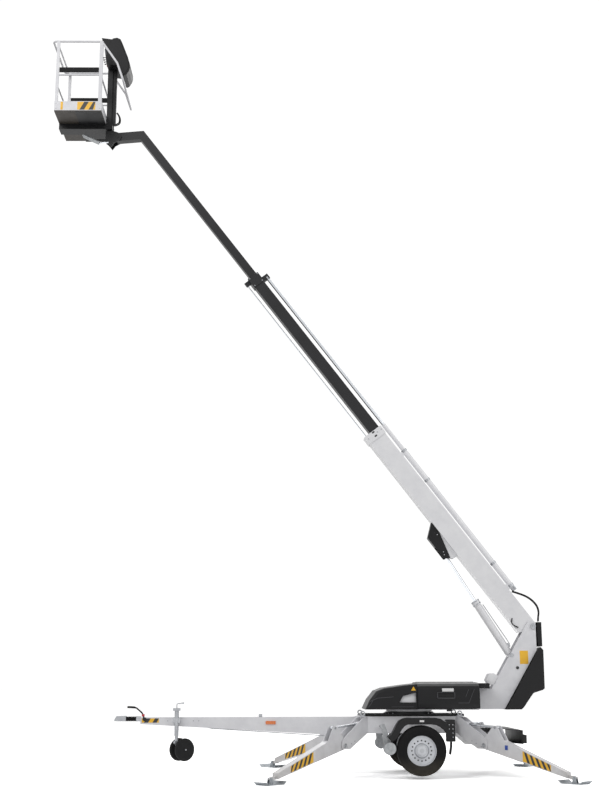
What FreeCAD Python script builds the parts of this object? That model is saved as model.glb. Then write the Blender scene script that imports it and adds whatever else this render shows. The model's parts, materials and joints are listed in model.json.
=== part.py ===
"""A trailer-mounted telescopic boom lift, standing on its four outriggers with the boom raised.

The machine's X runs from the coupling (-X) to the rear, Y from the left side (-Y) to the right,
and Z up from the ground. Lengths along X are counted from the road axle. The boom's own pieces are
drawn in the boom's frame: X along the boom from its pivot, Z across it. Each outrigger is drawn in
a frame at its hinge: X outwards along the leg, Z up. The basket is drawn from its levelling pivot.
"""
import FreeCAD, Part
import Sketcher
import math
import os
from FreeCAD import Placement, Rotation, Vector

SIZES = {
    # Road wheels, axle and ground
    "tyre_radius": 330, "tyre_width": 195, "rim_radius": 195, "wheel_lift": 38, "tyre_face_y": 930,
    "stub_radius": 30, "axle_half": 620, "jockey_radius": 155,
    # Chassis box
    "chassis_centre": -78, "chassis_half_long": 700, "chassis_half_wide": 360,
    "chassis_bottom": 575, "chassis_top": 800, "chassis_plate": 8, "deck_thick": 32,
    # Tow bar and coupling
    "tow_half_wide": 60, "tow_root_depth": 270, "tow_front_depth": 92, "tow_top": 790,
    "tow_front": -3860, "tow_wall": 5, "coupling_tip": -4232, "coupling_axis": 768,
    "jockey_x": -3345, "jockey_y": -125,
    # Outriggers, measured from each hinge
    "corner_to_hinge": 420, "leg_reach": 1388, "hinge_height": 430, "pad_pivot_height": 70,
    "leg_half_wide": 50, "bracket_gap": 8, "bracket_plate": 10, "leg_pin": 20,
    "pad_half_long": 180, "pad_half_wide": 120, "pad_plate": 6, "pad_pin": 12,
    "horn_out": 180, "horn_up": 235, "anchor_in": -800, "anchor_up": 300,
    "leg_barrel_radius": 32, "leg_rod_radius": 16, "leg_barrel_long": 505,
    # Turret
    "ring_radius": 340, "turret_floor": 890, "mast_half_wide": 125, "mast_plate": 12,
    "pivot_x": 1708, "pivot_z": 2036, "boom_pin": 25, "lift_foot_x": 1385, "lift_foot_z": 1635,
    "cover_half_wide": 500, "cover_front": 5, "cover_rear": 862, "cover_top": 1262, "cover_wall": 6,
    # Boom, in its own frame
    "boom_angle": 52.8, "base_long": 3600, "base_half_wide": 100, "base_low": -215, "base_high": 62,
    "base_wall": 5, "mid_half_wide": 80, "mid_low": -115, "mid_high": 50, "mid_start": 3000,
    "mid_end": 6600, "tip_half_wide": 60, "tip_low": -85, "tip_high": 38, "tip_start": 6050,
    "elbow_along": 9500, "elbow_across": -20, "elbow_bend": 57.8, "arm_long": 380, "arm_half": 68,
    "telescope_across": 137, "telescope_radius": 40, "telescope_rod": 25, "rope_across": -180,
    "rope_radius": 10,
    "lift_head_along": 1600, "lift_head_across": -345, "lift_barrel_radius": 55,
    "lift_rod_radius": 25, "lift_barrel_long": 880, "lift_pin": 20, "level_pin": 20,
    # Basket, measured from the levelling pivot
    "basket_floor_low": 200, "basket_left": -915, "basket_right": -195, "basket_half_deep": 540,
    "rail_height": 1172, "rail_tube": 16, "toe_height": 150, "swing_x": -130, "swing_pin": 30,
    # Clearances and thin sheet
    "running_gap": 0.05, "rod_gap": 1, "gap": 5, "sheet": 4,
}

doc = FreeCAD.newDocument("BoomLift")
sheet = doc.addObject("Spreadsheet::Sheet", "Sizes")


class Size(float):
    """A number that remembers the sheet formula it is worked out by."""

    def __new__(cls, number, formula):
        size = super().__new__(cls, number)
        size.formula = formula
        return size

    def __add__(self, other):
        return joined(self, "+", other, float(self) + float(other))

    def __radd__(self, other):
        return joined(other, "+", self, float(other) + float(self))

    def __sub__(self, other):
        return joined(self, "-", other, float(self) - float(other))

    def __rsub__(self, other):
        return joined(other, "-", self, float(other) - float(self))

    def __mul__(self, other):
        return joined(self, "*", other, float(self) * float(other))

    def __rmul__(self, other):
        return joined(other, "*", self, float(other) * float(self))

    def __truediv__(self, other):
        return joined(self, "/", other, float(self) / float(other))

    def __neg__(self):
        return joined(0, "-", self, -float(self))


def formula(value):
    """The sheet formula of a size, or the plain number's own text."""
    return value.formula if isinstance(value, Size) else "%.9g" % value


def joined(left, sign, right, number):
    """A size made of two others."""
    return Size(number, "(%s %s %s)" % (formula(left), sign, formula(right)))


def sine(angle):
    """The sine of an angle in degrees."""
    return Size(math.sin(math.radians(angle)), "sin(%s * 1 deg)" % formula(angle))


def cosine(angle):
    """The cosine of an angle in degrees."""
    return Size(math.cos(math.radians(angle)), "cos(%s * 1 deg)" % formula(angle))


class Table:
    """The sheet's driving dimensions, by name."""

    def __init__(self, sizes):
        for row, (name, value) in enumerate(sizes.items(), start=1):
            cell = "A%d" % row
            sheet.set(cell, str(value))
            sheet.setAlias(cell, name)
            setattr(self, name, Size(value, "Sizes." + name))


S = Table(SIZES)
doc.recompute()


def bind(item, name, value):
    """Sets a property, and ties it to the sheet where the value comes from there."""
    if isinstance(value, Size):
        item.setExpression(name, value.formula)
    elif name.startswith("Placement.") or name.startswith("AttachmentOffset."):
        item.setExpression(name, formula(value))
    else:
        setattr(item, name, value)


# --- Solids -------------------------------------------------------------------------------------

PLANES = {"XZ": ("XZ_Plane", 1), "XY": ("XY_Plane", 0), "YZ": ("YZ_Plane", 0)}


def origin_plane(body, role):
    """A body's own origin plane, found by its role."""
    for feature in body.Origin.OriginFeatures:
        if feature.Role == role:
            return feature
    raise ValueError("no origin plane " + role)


def add_loop(sketch, points):
    """Draws a closed outline whose corners are tied to the sheet."""
    first = sketch.GeometryCount
    count = len(points)
    for index in range(count):
        ends = [Vector(float(x), float(y), 0) for x, y in (points[index], points[(index + 1) % count])]
        sketch.addGeometry(Part.LineSegment(*ends), False)
    for index in range(count):
        following = first + (index + 1) % count
        sketch.addConstraint(constraint("Coincident", first + index, 2, following, 1))
    for index, (x, y) in enumerate(points):
        for kind, value in (("DistanceX", x), ("DistanceY", y)):
            number = sketch.addConstraint(constraint(kind, -1, 1, first + index, 1, float(value)))
            if isinstance(value, Size):
                sketch.setExpression("Constraints[%d]" % number, value.formula)


def add_circle(sketch, x, y, radius):
    """Draws a circle tied to the sheet."""
    index = sketch.GeometryCount
    centre = Vector(float(x), float(y), 0)
    sketch.addGeometry(Part.Circle(centre, Vector(0, 0, 1), float(radius)), False)
    ties = [("DistanceX", (-1, 1, index, 3), x), ("DistanceY", (-1, 1, index, 3), y),
            ("Radius", (index,), radius)]
    for kind, places, value in ties:
        number = sketch.addConstraint(constraint(kind, *places, float(value)))
        if isinstance(value, Size):
            sketch.setExpression("Constraints[%d]" % number, value.formula)


def constraint(*terms):
    """A sketch constraint."""
    return Sketcher.Constraint(*terms)


def sketch_on(body, plane, offset, loops, circles):
    """A sketch on one of the body's planes, moved along that plane's normal."""
    role, flipped = PLANES[plane]
    sketch = body.newObject("Sketcher::SketchObject", body.Name + "_Sketch")
    sketch.AttachmentSupport = [(origin_plane(body, role), "")]
    sketch.MapMode = "FlatFace"
    bind(sketch, "AttachmentOffset.Base.z", -offset if flipped else offset)
    for points in loops:
        add_loop(sketch, points)
    for circle in circles:
        add_circle(sketch, *circle)
    return sketch


def profile(name, loops, low, high, plane="XZ", circles=()):
    """A flat outline, or several, padded from low to high along the plane's normal."""
    body = doc.addObject("PartDesign::Body", name)
    if loops and not isinstance(loops[0], list):
        loops = [loops]
    sketch = sketch_on(body, plane, high if plane == "XZ" else low, loops, circles)
    pad = body.newObject("PartDesign::Pad", name + "_Pad")
    pad.Profile = sketch
    bind(pad, "Length", high - low)
    doc.recompute()
    return body


def turned(name, loop):
    """An outline of (along Y, radius) turned about the Y axis."""
    body = doc.addObject("PartDesign::Body", name)
    sketch = sketch_on(body, "YZ", 0, [loop], ())
    turn = body.newObject("PartDesign::Revolution", name + "_Revolution")
    turn.Profile = sketch
    turn.ReferenceAxis = (sketch, ["H_Axis"])
    turn.Angle = 360
    doc.recompute()
    return body


def rounded(body, radius, chosen):
    """Rounds those edges of a body whose middle passes a test."""
    shape = body.Shape
    names = ["Edge%d" % (number + 1) for number, edge in enumerate(shape.Edges)
             if chosen(edge.CenterOfMass, edge)]
    last = body.Tip
    fillet = body.newObject("PartDesign::Fillet", body.Name + "_Round")
    fillet.Base = (last, names)
    bind(fillet, "Radius", radius)
    body.Tip = fillet
    doc.recompute()
    return body


def box(name, x_span, y_span, z_span):
    """A block between low and high values on each axis."""
    block = doc.addObject("Part::Box", name)
    for prop, axis, (low, high) in (("Length", "x", x_span), ("Width", "y", y_span),
                                    ("Height", "z", z_span)):
        bind(block, prop, high - low)
        bind(block, "Placement.Base." + axis, low)
    return block


def rod(name, start, direction, length, radius):
    """A round bar from a start point along a direction."""
    bar = doc.addObject("Part::Cylinder", name)
    bind(bar, "Radius", radius)
    bind(bar, "Height", length)
    turn = Rotation(Vector(0, 0, 1), Vector(*direction))
    bar.Placement = Placement(Vector(*[float(value) for value in start]), turn)
    for axis, value in zip("xyz", start):
        if isinstance(value, Size):
            bind(bar, "Placement.Base." + axis, value)
    return bar


def across(name, x, z, half, radius):
    """A round bar across the machine, from -half to half in Y."""
    return rod(name, (x, -half, z), (0, 1, 0), 2 * half, radius)


def tube(name, points, bend, radius):
    """A bent round bar along straight runs joined by tangent arcs."""
    spots = [Vector(*[float(value) for value in point]) for point in points]
    edges = []
    start = spots[0]
    for before, corner, after in zip(spots, spots[1:], spots[2:]):
        into = (corner - before).normalize()
        out = (after - corner).normalize()
        half_turn = into.getAngle(out) / 2
        reach = bend * math.tan(half_turn)
        first = corner - into * reach
        last = corner + out * reach
        middle = corner + (out - into).normalize() * (bend / math.cos(half_turn) - bend)
        edges.append(Part.LineSegment(start, first).toShape())
        edges.append(Part.Arc(first, middle, last).toShape())
        start = last
    edges.append(Part.LineSegment(start, spots[-1]).toShape())
    path = Part.Wire(edges)
    section = Part.Wire(Part.makeCircle(float(radius), spots[0], spots[1] - spots[0]))
    item = doc.addObject("Part::Feature", name)
    item.Shape = path.makePipeShell([section], True, False)
    return item


def moved(item, frame):
    """Sets an unbound item into a frame."""
    item.Placement = frame.multiply(item.Placement)
    return item


NODES = []


def node(label, frame, parts, cuts=()):
    """Joins parts into one named sub-part, takes cuts away, and sets it in its frame."""
    if len(parts) > 1:
        whole = doc.addObject("Part::MultiFuse", label + "_whole")
        whole.Shapes = parts
    else:
        whole = parts[0]
    if cuts:
        tool = doc.addObject("Part::Compound", label + "_tools")
        tool.Links = list(cuts)
        result = doc.addObject("Part::Cut", label + "_cut")
        result.Base = whole
        result.Tool = tool
    elif len(parts) > 1:
        result = whole
    else:
        result = doc.addObject("Part::Compound", label + "_set")
        result.Links = [whole]
    result.Label = label
    result.Placement = frame
    doc.recompute()
    NODES.append(result)
    return result


def pieces(label, frame, parts):
    """Several like solids that don't touch, as one named sub-part."""
    group = doc.addObject("Part::Compound", label + "_set")
    group.Links = parts
    group.Label = label
    group.Placement = frame
    doc.recompute()
    NODES.append(group)
    return group


# --- Frames -------------------------------------------------------------------------------------

def boom_point(along, across_boom):
    """A point of the boom's frame, in the machine's X and Z."""
    x = S.pivot_x - along * cosine(S.boom_angle) + across_boom * sine(S.boom_angle)
    z = S.pivot_z + along * sine(S.boom_angle) + across_boom * cosine(S.boom_angle)
    return x, z


ARM_ANGLE = S.boom_angle - S.elbow_bend
ELBOW_X, ELBOW_Z = boom_point(S.elbow_along, S.elbow_across)
LEVEL_X = ELBOW_X - S.arm_long * cosine(ARM_ANGLE)
LEVEL_Z = ELBOW_Z + S.arm_long * sine(ARM_ANGLE)
RAIL_OVERHANG = 60
CORNER_ANGLE = math.degrees(math.atan2(1324, 1245.5))
LEG_FRAME_OUT = S.corner_to_hinge + S.leg_reach
PAD_X = S.chassis_half_long + LEG_FRAME_OUT * math.cos(math.radians(CORNER_ANGLE))
PAD_TIP = PAD_X + S.pad_half_long * math.cos(math.radians(CORNER_ANGLE)) \
    + S.pad_half_wide * math.sin(math.radians(CORNER_ANGLE))
MACHINE_HIGH_X = S.chassis_centre + PAD_TIP
MACHINE_LOW_X = LEVEL_X + S.basket_left - RAIL_OVERHANG - S.rail_tube
AXLE_X = -(MACHINE_LOW_X + MACHINE_HIGH_X) / 2
AXLE_Z = S.tyre_radius + S.wheel_lift

MACHINE = Placement(Vector(AXLE_X, 0, 0), Rotation())
BASKET = Placement(Vector(AXLE_X + LEVEL_X, 0, LEVEL_Z), Rotation())
angle = math.radians(S.boom_angle)
BOOM_TURN = Rotation(Vector(-math.cos(angle), 0, math.sin(angle)), Vector(0, -1, 0),
                     Vector(math.sin(angle), 0, math.cos(angle)), "XYZ")
BOOM = Placement(Vector(AXLE_X + S.pivot_x, 0, S.pivot_z), BOOM_TURN)


def corner_frame(front, left):
    """The frame at one outrigger's hinge, in the machine's own X, Y and Z."""
    heading = math.radians(CORNER_ANGLE)
    along_x = -1 if front else 1
    along_y = -1 if left else 1
    out = Vector(along_x * math.cos(heading), along_y * math.sin(heading), 0)
    corner = Vector(S.chassis_centre + along_x * S.chassis_half_long, along_y * S.chassis_half_wide, 0)
    base = corner + out * float(S.corner_to_hinge) + Vector(0, 0, S.hinge_height)
    return Placement(base, Rotation(out, Vector(-out.y, out.x, 0), Vector(0, 0, 1), "XYZ"))


CORNERS = {"front_left": (True, True), "front_right": (True, False),
           "rear_left": (False, True), "rear_right": (False, False)}


def in_machine(frame):
    """A frame given in the machine's X, Y and Z, placed in the part's."""
    return MACHINE.multiply(frame)


# --- Chassis ------------------------------------------------------------------------------------

def bracket_parts(tag, frame):
    """One corner's bracket: two cheeks, the web under them, the leg's pin and the cylinder's lugs."""
    inner = S.leg_half_wide + S.bracket_gap
    outer = inner + S.bracket_plate
    top = S.chassis_top - S.hinge_height
    bottom = S.chassis_bottom - S.hinge_height
    outline = [(-500, top), (-390, top - 15), (-30, 130), (50, 60), (60, 0), (40, -50), (-110, -50),
               (-470, bottom), (-500, bottom)]
    web = [(-470, bottom), (-110, -50), (-106, -42), (-462, bottom + 8)]
    lug_top = S.anchor_up + 26
    lug = [(S.anchor_in - 26, bottom + 2), (S.anchor_in + 26, bottom + 2),
           (S.anchor_in + 22, lug_top), (S.anchor_in - 22, lug_top)]
    parts = [profile(tag + "_cheek_a", outline, inner, outer),
             profile(tag + "_cheek_b", outline, -outer, -inner),
             profile(tag + "_web", web, -inner - 1, inner + 1),
             profile(tag + "_lug_a", lug, 20, 28), profile(tag + "_lug_b", lug, -28, -20)]
    for part in parts:
        moved(part, frame)
    pins = [rod(tag + "_pin", (0, -outer - 6, 0), (0, 1, 0), 2 * outer + 12, S.leg_pin),
            rod(tag + "_anchor_pin", (S.anchor_in, -28, S.anchor_up), (0, 1, 0), 56, S.pad_pin)]
    for pin in pins:
        for axis in "xyz":
            pin.setExpression("Placement.Base." + axis, None)
        moved(pin, frame)
    return parts + pins


def chassis_frame():
    """The box of plates, with an outrigger bracket at each corner."""
    front = S.chassis_centre - S.chassis_half_long
    rear = S.chassis_centre + S.chassis_half_long
    wide = S.chassis_half_wide
    plate = S.chassis_plate
    low, high = S.chassis_bottom, S.chassis_top
    parts = [box("top_plate", (front, rear), (-wide, wide), (high - plate, high)),
             box("bottom_plate", (front, rear), (-wide, wide), (low, low + plate))]
    for tag, y in (("left", -wide), ("right", wide - plate)):
        parts.append(box("side_web_" + tag, (front + 70, rear - 70), (y, y + plate), (low, high)))
    for tag, x in (("front", front), ("rear", rear - plate)):
        parts.append(box("end_web_" + tag, (x, x + plate), (70 - wide, wide - 70), (low, high)))
    for tag, place in CORNERS.items():
        parts += bracket_parts("bracket_" + tag, corner_frame(*place))
    node("chassis_frame", MACHINE, parts)


def deck_plate():
    """The dark plate on the chassis, with four lifting eyes at its edges and the slewing ring's foot."""
    front = S.chassis_centre - S.chassis_half_long + 10
    rear = S.chassis_centre + S.chassis_half_long + 38
    top = S.chassis_top + S.deck_thick
    parts = [box("deck", (front, rear), (-300, 300), (S.chassis_top, top))]
    parts.append(rod("ring_foot", (S.chassis_centre, 0, top - 1), (0, 0, 1), 26, S.ring_radius))
    node("slewing_base", MACHINE, parts)


def lifting_eyes():
    """Four welded rings at the chassis corners."""
    eyes = []
    for along in (-1, 1):
        for side in (-1, 1):
            name = "eye_%d_%d" % (along, side)
            x = S.chassis_centre + along * 675
            y = side * 330
            blank = box(name + "_base", (x - 40, x + 40), (y - 6, y + 6),
                        (S.chassis_top, S.chassis_top + 12))
            ring = rod(name + "_disc", (x, y - 6, S.chassis_top + 42), (0, 1, 0), 12, 36)
            hole = rod(name + "_hole", (x, y - 7, S.chassis_top + 42), (0, 1, 0), 14, 20)
            fused = doc.addObject("Part::MultiFuse", name + "_fuse")
            fused.Shapes = [blank, ring]
            eye = doc.addObject("Part::Cut", name)
            eye.Base = fused
            eye.Tool = hole
            eyes.append(eye)
    pieces("lifting_eyes", MACHINE, eyes)


def tow_bar():
    """The tapered hollow drawbar."""
    root = S.chassis_centre - S.chassis_half_long
    top = S.tow_top
    outer = [(root, top), (root, top - S.tow_root_depth), (S.tow_front, top - S.tow_front_depth),
             (S.tow_front, top)]
    wall = S.tow_wall
    inner = [(root, top - wall), (root, top - S.tow_root_depth + wall),
             (S.tow_front + wall, top - S.tow_front_depth + wall), (S.tow_front + wall, top - wall)]
    skin = profile("tow_outer", outer, -S.tow_half_wide, S.tow_half_wide)
    core = profile("tow_inner", inner, wall - S.tow_half_wide, S.tow_half_wide - wall)
    node("tow_bar", MACHINE, [skin], [core])


def coupling():
    """The overrun housing, its bellows and the ball head with its socket."""
    axis = S.coupling_axis
    tip = S.coupling_tip
    head_rear = tip + 165
    bellows_rear = S.tow_front - 62
    head = profile("head_block", [(tip, axis - 14), (tip + 30, axis + 38), (head_rear, axis + 44),
                                  (head_rear, axis - 32), (tip + 70, axis - 32), (tip, axis - 30)],
                   -36, 36)
    shaft = rod("overrun_shaft", (head_rear - 5, 0, axis), (1, 0, 0), S.tow_front - head_rear + 5, 24)
    collar = rod("overrun_housing", (bellows_rear, 0, axis), (1, 0, 0), S.tow_front - bellows_rear, 36)
    ball = doc.addObject("Part::Sphere", "ball_socket")
    bind(ball, "Radius", 25.5)
    bind(ball, "Placement.Base.x", tip + 42)
    bind(ball, "Placement.Base.z", axis - 20)
    mouth = rod("ball_mouth", (tip + 42, 0, axis - 60), (0, 0, 1), 40, 25.5)
    node("coupling_head", MACHINE, [head, shaft, collar], [ball, mouth])
    skin = rod("bellows_skin", (head_rear, 0, axis), (1, 0, 0), bellows_rear - head_rear, 38)
    bore = rod("bellows_bore", (head_rear - 1, 0, axis), (1, 0, 0), bellows_rear - head_rear + 2, 24)
    node("coupling_bellows", MACHINE, [skin], [bore])
    lever = tube("lever_bar", [(-3800, -72, 765), (-3835, -72, 850), (-3920, -72, 922),
                               (-4045, -72, 930)], 60, 11)
    boss = rod("lever_boss", (-3800, -86, 765), (0, 1, 0), 26, 26)
    node("handbrake_lever", MACHINE, [lever, boss])


def jockey_parts():
    """The jockey wheel's clamp and outer tube, inner tube, fork and twin wheels."""
    x, y = S.jockey_x, S.jockey_y
    outer = rod("jockey_outer", (x, y, 540), (0, 0, 1), 375, 30)
    bore = rod("jockey_bore", (x, y, 539), (0, 0, 1), 340, 24 + S.rod_gap)
    clamp = box("clamp", (x - 55, x + 55), (y - 20, -S.tow_half_wide), (715, 785))
    clamp_bore = rod("clamp_bore", (x, y, 714), (0, 0, 1), 72, 24 + S.rod_gap)
    gear_box = box("gear_box", (x - 50, x + 50), (y - 38, y + 38), (880, 916))
    crank = tube("crank", [(x, y, 915), (x, y, 975), (x + 95, y, 985)], 15, 7)
    knob = rod("crank_knob", (x + 88, y - 50, 984), (0, 1, 0), 62, 13)
    node("jockey_clamp", MACHINE, [outer, clamp, gear_box, crank, knob], [bore, clamp_bore])
    node("jockey_tube", MACHINE, [rod("jockey_inner", (x, y, 470), (0, 0, 1), 330, 24)])
    frame = in_machine(Placement(Vector(x, y, 0), Rotation(Vector(0, 0, 1), 38)))
    axle_z = 352
    arm = [(-34, 468), (34, 468), (110, axle_z + 20), (110, axle_z - 20), (80, axle_z - 20),
           (-34, 440)]
    yoke = profile("fork_arm", arm, -22, 22)
    shaft = rod("fork_axle", (95, -105, axle_z), (0, 1, 0), 210, 10)
    node("jockey_fork", frame, [yoke, shaft])
    wheels = []
    for tag, side in (("inner", 1), ("outer", -1)):
        loop = [(-22, 10 + S.running_gap), (22, 10 + S.running_gap), (22, 60), (24, 130),
                (18, S.jockey_radius - 4), (8, S.jockey_radius), (-8, S.jockey_radius),
                (-18, S.jockey_radius - 4), (-24, 130), (-22, 60)]
        wheel = turned("jockey_wheel_" + tag, loop)
        wheel.Placement = Placement(Vector(95, side * 70, axle_z), Rotation())
        wheels.append(wheel)
    pieces("jockey_wheels", frame, wheels)


def axle_and_wheels():
    """The axle beam with its trailing arms and stubs, and both road wheels."""
    half = S.axle_half
    beam = box("axle_tube", (-40, 40), (-half, half), (S.chassis_bottom - 85, S.chassis_bottom))
    arm = [(-60, S.chassis_bottom), (60, S.chassis_bottom), (45, AXLE_Z - 45), (-45, AXLE_Z - 45)]
    parts = [beam]
    for tag, side in (("left", -1), ("right", 1)):
        low, high = (-half, -half + 20) if side < 0 else (half - 20, half)
        parts.append(profile("arm_" + tag, arm, low, high))
        parts.append(rod("stub_" + tag, (0, side * (half - 10), AXLE_Z), (0, side, 0), 250,
                         S.stub_radius))
    node("axle_beam", MACHINE, parts)
    face = S.tyre_face_y
    rim = S.rim_radius
    bore = S.stub_radius + S.running_gap
    for tag, side in (("left", -1), ("right", 1)):
        def at(offset):
            return (face - offset) * side
        shell = [(at(20), rim), (at(20), rim - 8), (at(50), rim - 14), (at(56), 100), (at(36), 85),
                 (at(36), 62), (at(20), 60), (at(20), bore), (at(110), bore), (at(110), 55),
                 (at(66), 62), (at(64), 92), (at(72), 100), (at(70), rim - 30),
                 (at(160), rim - 28), (at(176), rim - 8), (at(176), rim), (at(164), rim),
                 (at(150), rim - 14), (at(60), rim - 16), (at(32), rim)]
        rim_body = turned("rim_shape_" + tag, shell)
        frame = in_machine(Placement(Vector(0, 0, AXLE_Z), Rotation()))
        node("rim_" + tag, frame, [rim_body])
        big = S.tyre_radius
        tyre = [(at(24), rim + 0.2), (at(3), rim + 30), (at(0), rim + 62), (at(6), big - 30),
                (at(22), big - 6), (at(45), big), (at(150), big), (at(173), big - 6),
                (at(189), big - 30), (at(195), rim + 62), (at(192), rim + 30), (at(171), rim + 0.2)]
        node("tyre_" + tag, frame, [turned("tyre_shape_" + tag, tyre)])


def fenders():
    """Two sheet arches with a flat top, an outer skirt and a flap, each on two stays."""
    sheet_thick = S.sheet
    outer = [(-455, 545), (-395, 590), (-345, 690), (-300, 752), (-245, 783), (-200, 793), (205, 793),
             (262, 782), (315, 745), (352, 690), (390, 573), (408, 490)]
    inner = [(400, 490), (382, 571), (345, 686), (309, 739), (258, 775), (204, 788), (-199, 788),
             (-243, 778), (-296, 747), (-339, 686), (-389, 585), (-449, 540)]
    skirt = outer + [(372, 490), (330, 585), (290, 640), (245, 677), (190, 703), (130, 710),
                     (-180, 710), (-225, 690), (-262, 650), (-300, 585), (-335, 530), (-400, 480)]
    wings = []
    for tag, side in (("left", -1), ("right", 1)):
        def span(low, high):
            return (-high, -low) if side < 0 else (low, high)
        face = S.tyre_face_y + 6
        arch = profile("arch_" + tag, outer + inner, *span(715, face))
        edge = profile("skirt_" + tag, skirt, *span(face - sheet_thick, face))
        flap = profile("flap_" + tag, [(398, 500), (406, 500), (404, 420), (386, 318), (378, 318),
                                       (395, 420)], *span(740, face - 5))
        stays = [box("stay_%s_%d" % (tag, x), (x - 15, x + 15),
                     span(S.chassis_half_wide, 720), (755, 785)) for x in (-140, 160)]
        fused = doc.addObject("Part::MultiFuse", "fender_" + tag)
        fused.Shapes = [arch, edge, flap] + stays
        wings.append(fused)
    pieces("fenders", MACHINE, wings)


def drive_units():
    """The friction drive's motors, one ahead of each road wheel, on arms from the chassis."""
    units = []
    for tag, side in (("left", -1), ("right", 1)):
        def span(low, high):
            return (-high, -low) if side < 0 else (low, high)
        low, high = span(711, 920)
        motor = rod("motor_" + tag, (-424, low, 396), (0, 1, 0), high - low, 78)
        arm = profile("motor_arm_" + tag, [(-540, 700), (-480, 715), (-440, 600), (-385, 440),
                                           (-425, 340), (-490, 400), (-505, 560)], *span(690, 712))
        cross = rod("motor_cross_" + tag, (-505, span(S.chassis_half_wide, 700)[0], 670), (0, 1, 0),
                    700 - S.chassis_half_wide, 22)
        fused = doc.addObject("Part::MultiFuse", "drive_" + tag)
        fused.Shapes = [motor, arm, cross]
        units.append(fused)
    pieces("drive_units", MACHINE, units)


def rear_equipment():
    """The hydraulic valve box on the left side and the lamp bar behind the chassis."""
    wide = S.chassis_half_wide
    node("valve_box", MACHINE, [box("valve_block", (390, 510), (-wide - 120, -wide), (465, 757))])
    rear = S.chassis_centre + S.chassis_half_long
    body = profile("lamp_tray", [(1085, 590), (1130, 645), (1400, 622), (1400, 440), (1240, 455),
                                 (1110, 515)], -690, 690)
    hollow = profile("lamp_hollow", [(1097, 589), (1134, 637), (1392, 615), (1392, 449), (1242, 463),
                                     (1117, 520)], -700, 700)
    arms = [box("lamp_arm_%d" % y, (rear, 1100), (y - 20, y + 20), (585, 625)) for y in (-200, 200)]
    lamps = [box("lamp_%d" % side, (1398, 1450), (side * 560 - 125, side * 560 + 125), (450, 560))
             for side in (-1, 1)]
    node("light_bar", MACHINE, [body] + arms + lamps, [hollow])


# --- Outriggers ---------------------------------------------------------------------------------

def outrigger(tag, place):
    """One leg with its horn, its foot pad, and the cylinder that folds it."""
    frame = in_machine(corner_frame(*place))
    half = S.leg_half_wide
    drop = S.pad_pivot_height - S.hinge_height
    end_x = S.leg_reach - 95
    beam_top = [(300, 72), (end_x, drop + 68)]
    outline = [(-40, 35), (20, 50)] + beam_top + [(end_x, drop - 4), (20, -58), (-40, -35)]
    slot = [(-60, 56), (-60, -34), (20, -46), (290, -106), (290, 90), (0, 90)]
    core = [(302, 60), (end_x - 6, drop + 60), (end_x - 6, drop + 4), (302, -116)]
    horn = [(-45, 40), (S.horn_out - 30, S.horn_up + 22), (S.horn_out + 30, S.horn_up + 22),
            (330, 58), (300, -60), (0, -50)]
    lug = [(end_x - 30, drop + 30), (S.leg_reach, drop + 26), (S.leg_reach + 26, drop),
           (S.leg_reach, drop - 26), (end_x - 30, drop - 4)]
    name = "leg_" + tag
    parts = [profile(name + "_beam", outline, -half, half),
             profile(name + "_horn_a", horn, half - 10, half),
             profile(name + "_horn_b", horn, -half, 10 - half),
             profile(name + "_lug", lug, -12, 12),
             across(name + "_boss", 0, 0, half, 48)]
    beam = doc.addObject("Part::Cut", name + "_hollow")
    beam.Base = parts[0]
    tools = doc.addObject("Part::Compound", name + "_hollows")
    tools.Links = [profile(name + "_slot", slot, 10 - half, half - 10),
                   profile(name + "_core", core, 6 - half, half - 6)]
    beam.Tool = tools
    parts[0] = beam
    bores = [across(name + "_bore", 0, 0, half + 5, S.leg_pin + S.running_gap),
             across(name + "_pad_bore", S.leg_reach, drop, 20, S.pad_pin + S.running_gap)]
    node(name, frame, parts, bores)
    pad_parts(tag, frame, drop)
    cylinder_parts(tag, frame)


def pad_parts(tag, frame, drop):
    """A boat-shaped foot plate with two ears and its pin."""
    x = S.leg_reach
    low = -S.hinge_height
    long = S.pad_half_long
    sole = [(x - long, low + 36), (x - long + 50, low), (x + long - 50, low), (x + long, low + 36),
            (x + long, low + 36 + S.pad_plate), (x + long - 52, low + S.pad_plate),
            (x - long + 52, low + S.pad_plate), (x - long, low + 36 + S.pad_plate)]
    ear = [(x - 34, low + 3), (x + 34, low + 3), (x + 20, drop + 18), (x - 20, drop + 18)]
    name = "pad_" + tag
    wide = S.pad_half_wide
    parts = [profile(name + "_sole", sole, -wide, wide), profile(name + "_ear_a", ear, 17, 25),
             profile(name + "_ear_b", ear, -25, -17), across(name + "_pin", x, drop, 30, S.pad_pin)]
    node(name, frame, parts)


def cylinder_parts(tag, frame):
    """The barrel from the chassis and the rod to the horn, along the line between their eyes."""
    run_x = S.horn_out - S.anchor_in
    run_z = S.horn_up - S.anchor_up
    length = math.hypot(run_x, run_z)
    turn = Rotation(Vector(0, 1, 0), -math.degrees(math.atan2(run_z, run_x)))
    line = frame.multiply(Placement(Vector(S.anchor_in, 0, S.anchor_up), turn))
    barrel = rod("barrel_%s_tube" % tag, (36, 0, 0), (1, 0, 0), S.leg_barrel_long - 36,
                 S.leg_barrel_radius)
    neck = rod("barrel_%s_neck" % tag, (12, 0, 0), (1, 0, 0), 28, 13)
    eye = across("barrel_%s_eye" % tag, 0, 0, 15, 24)
    bore = rod("barrel_%s_bore" % tag, (46, 0, 0), (1, 0, 0), S.leg_barrel_long,
               S.leg_rod_radius + S.rod_gap)
    hole = across("barrel_%s_hole" % tag, 0, 0, 20, S.pad_pin + S.running_gap)
    node("leg_barrel_" + tag, line, [barrel, neck, eye], [bore, hole])
    bar = rod("rod_%s_bar" % tag, (450, 0, 0), (1, 0, 0), length - 468, S.leg_rod_radius)
    head = across("rod_%s_eye" % tag, length, 0, 15, 24)
    hole = across("rod_%s_hole" % tag, length, 0, 20, S.pad_pin)
    node("leg_rod_" + tag, line, [bar, head], [hole])


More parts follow.
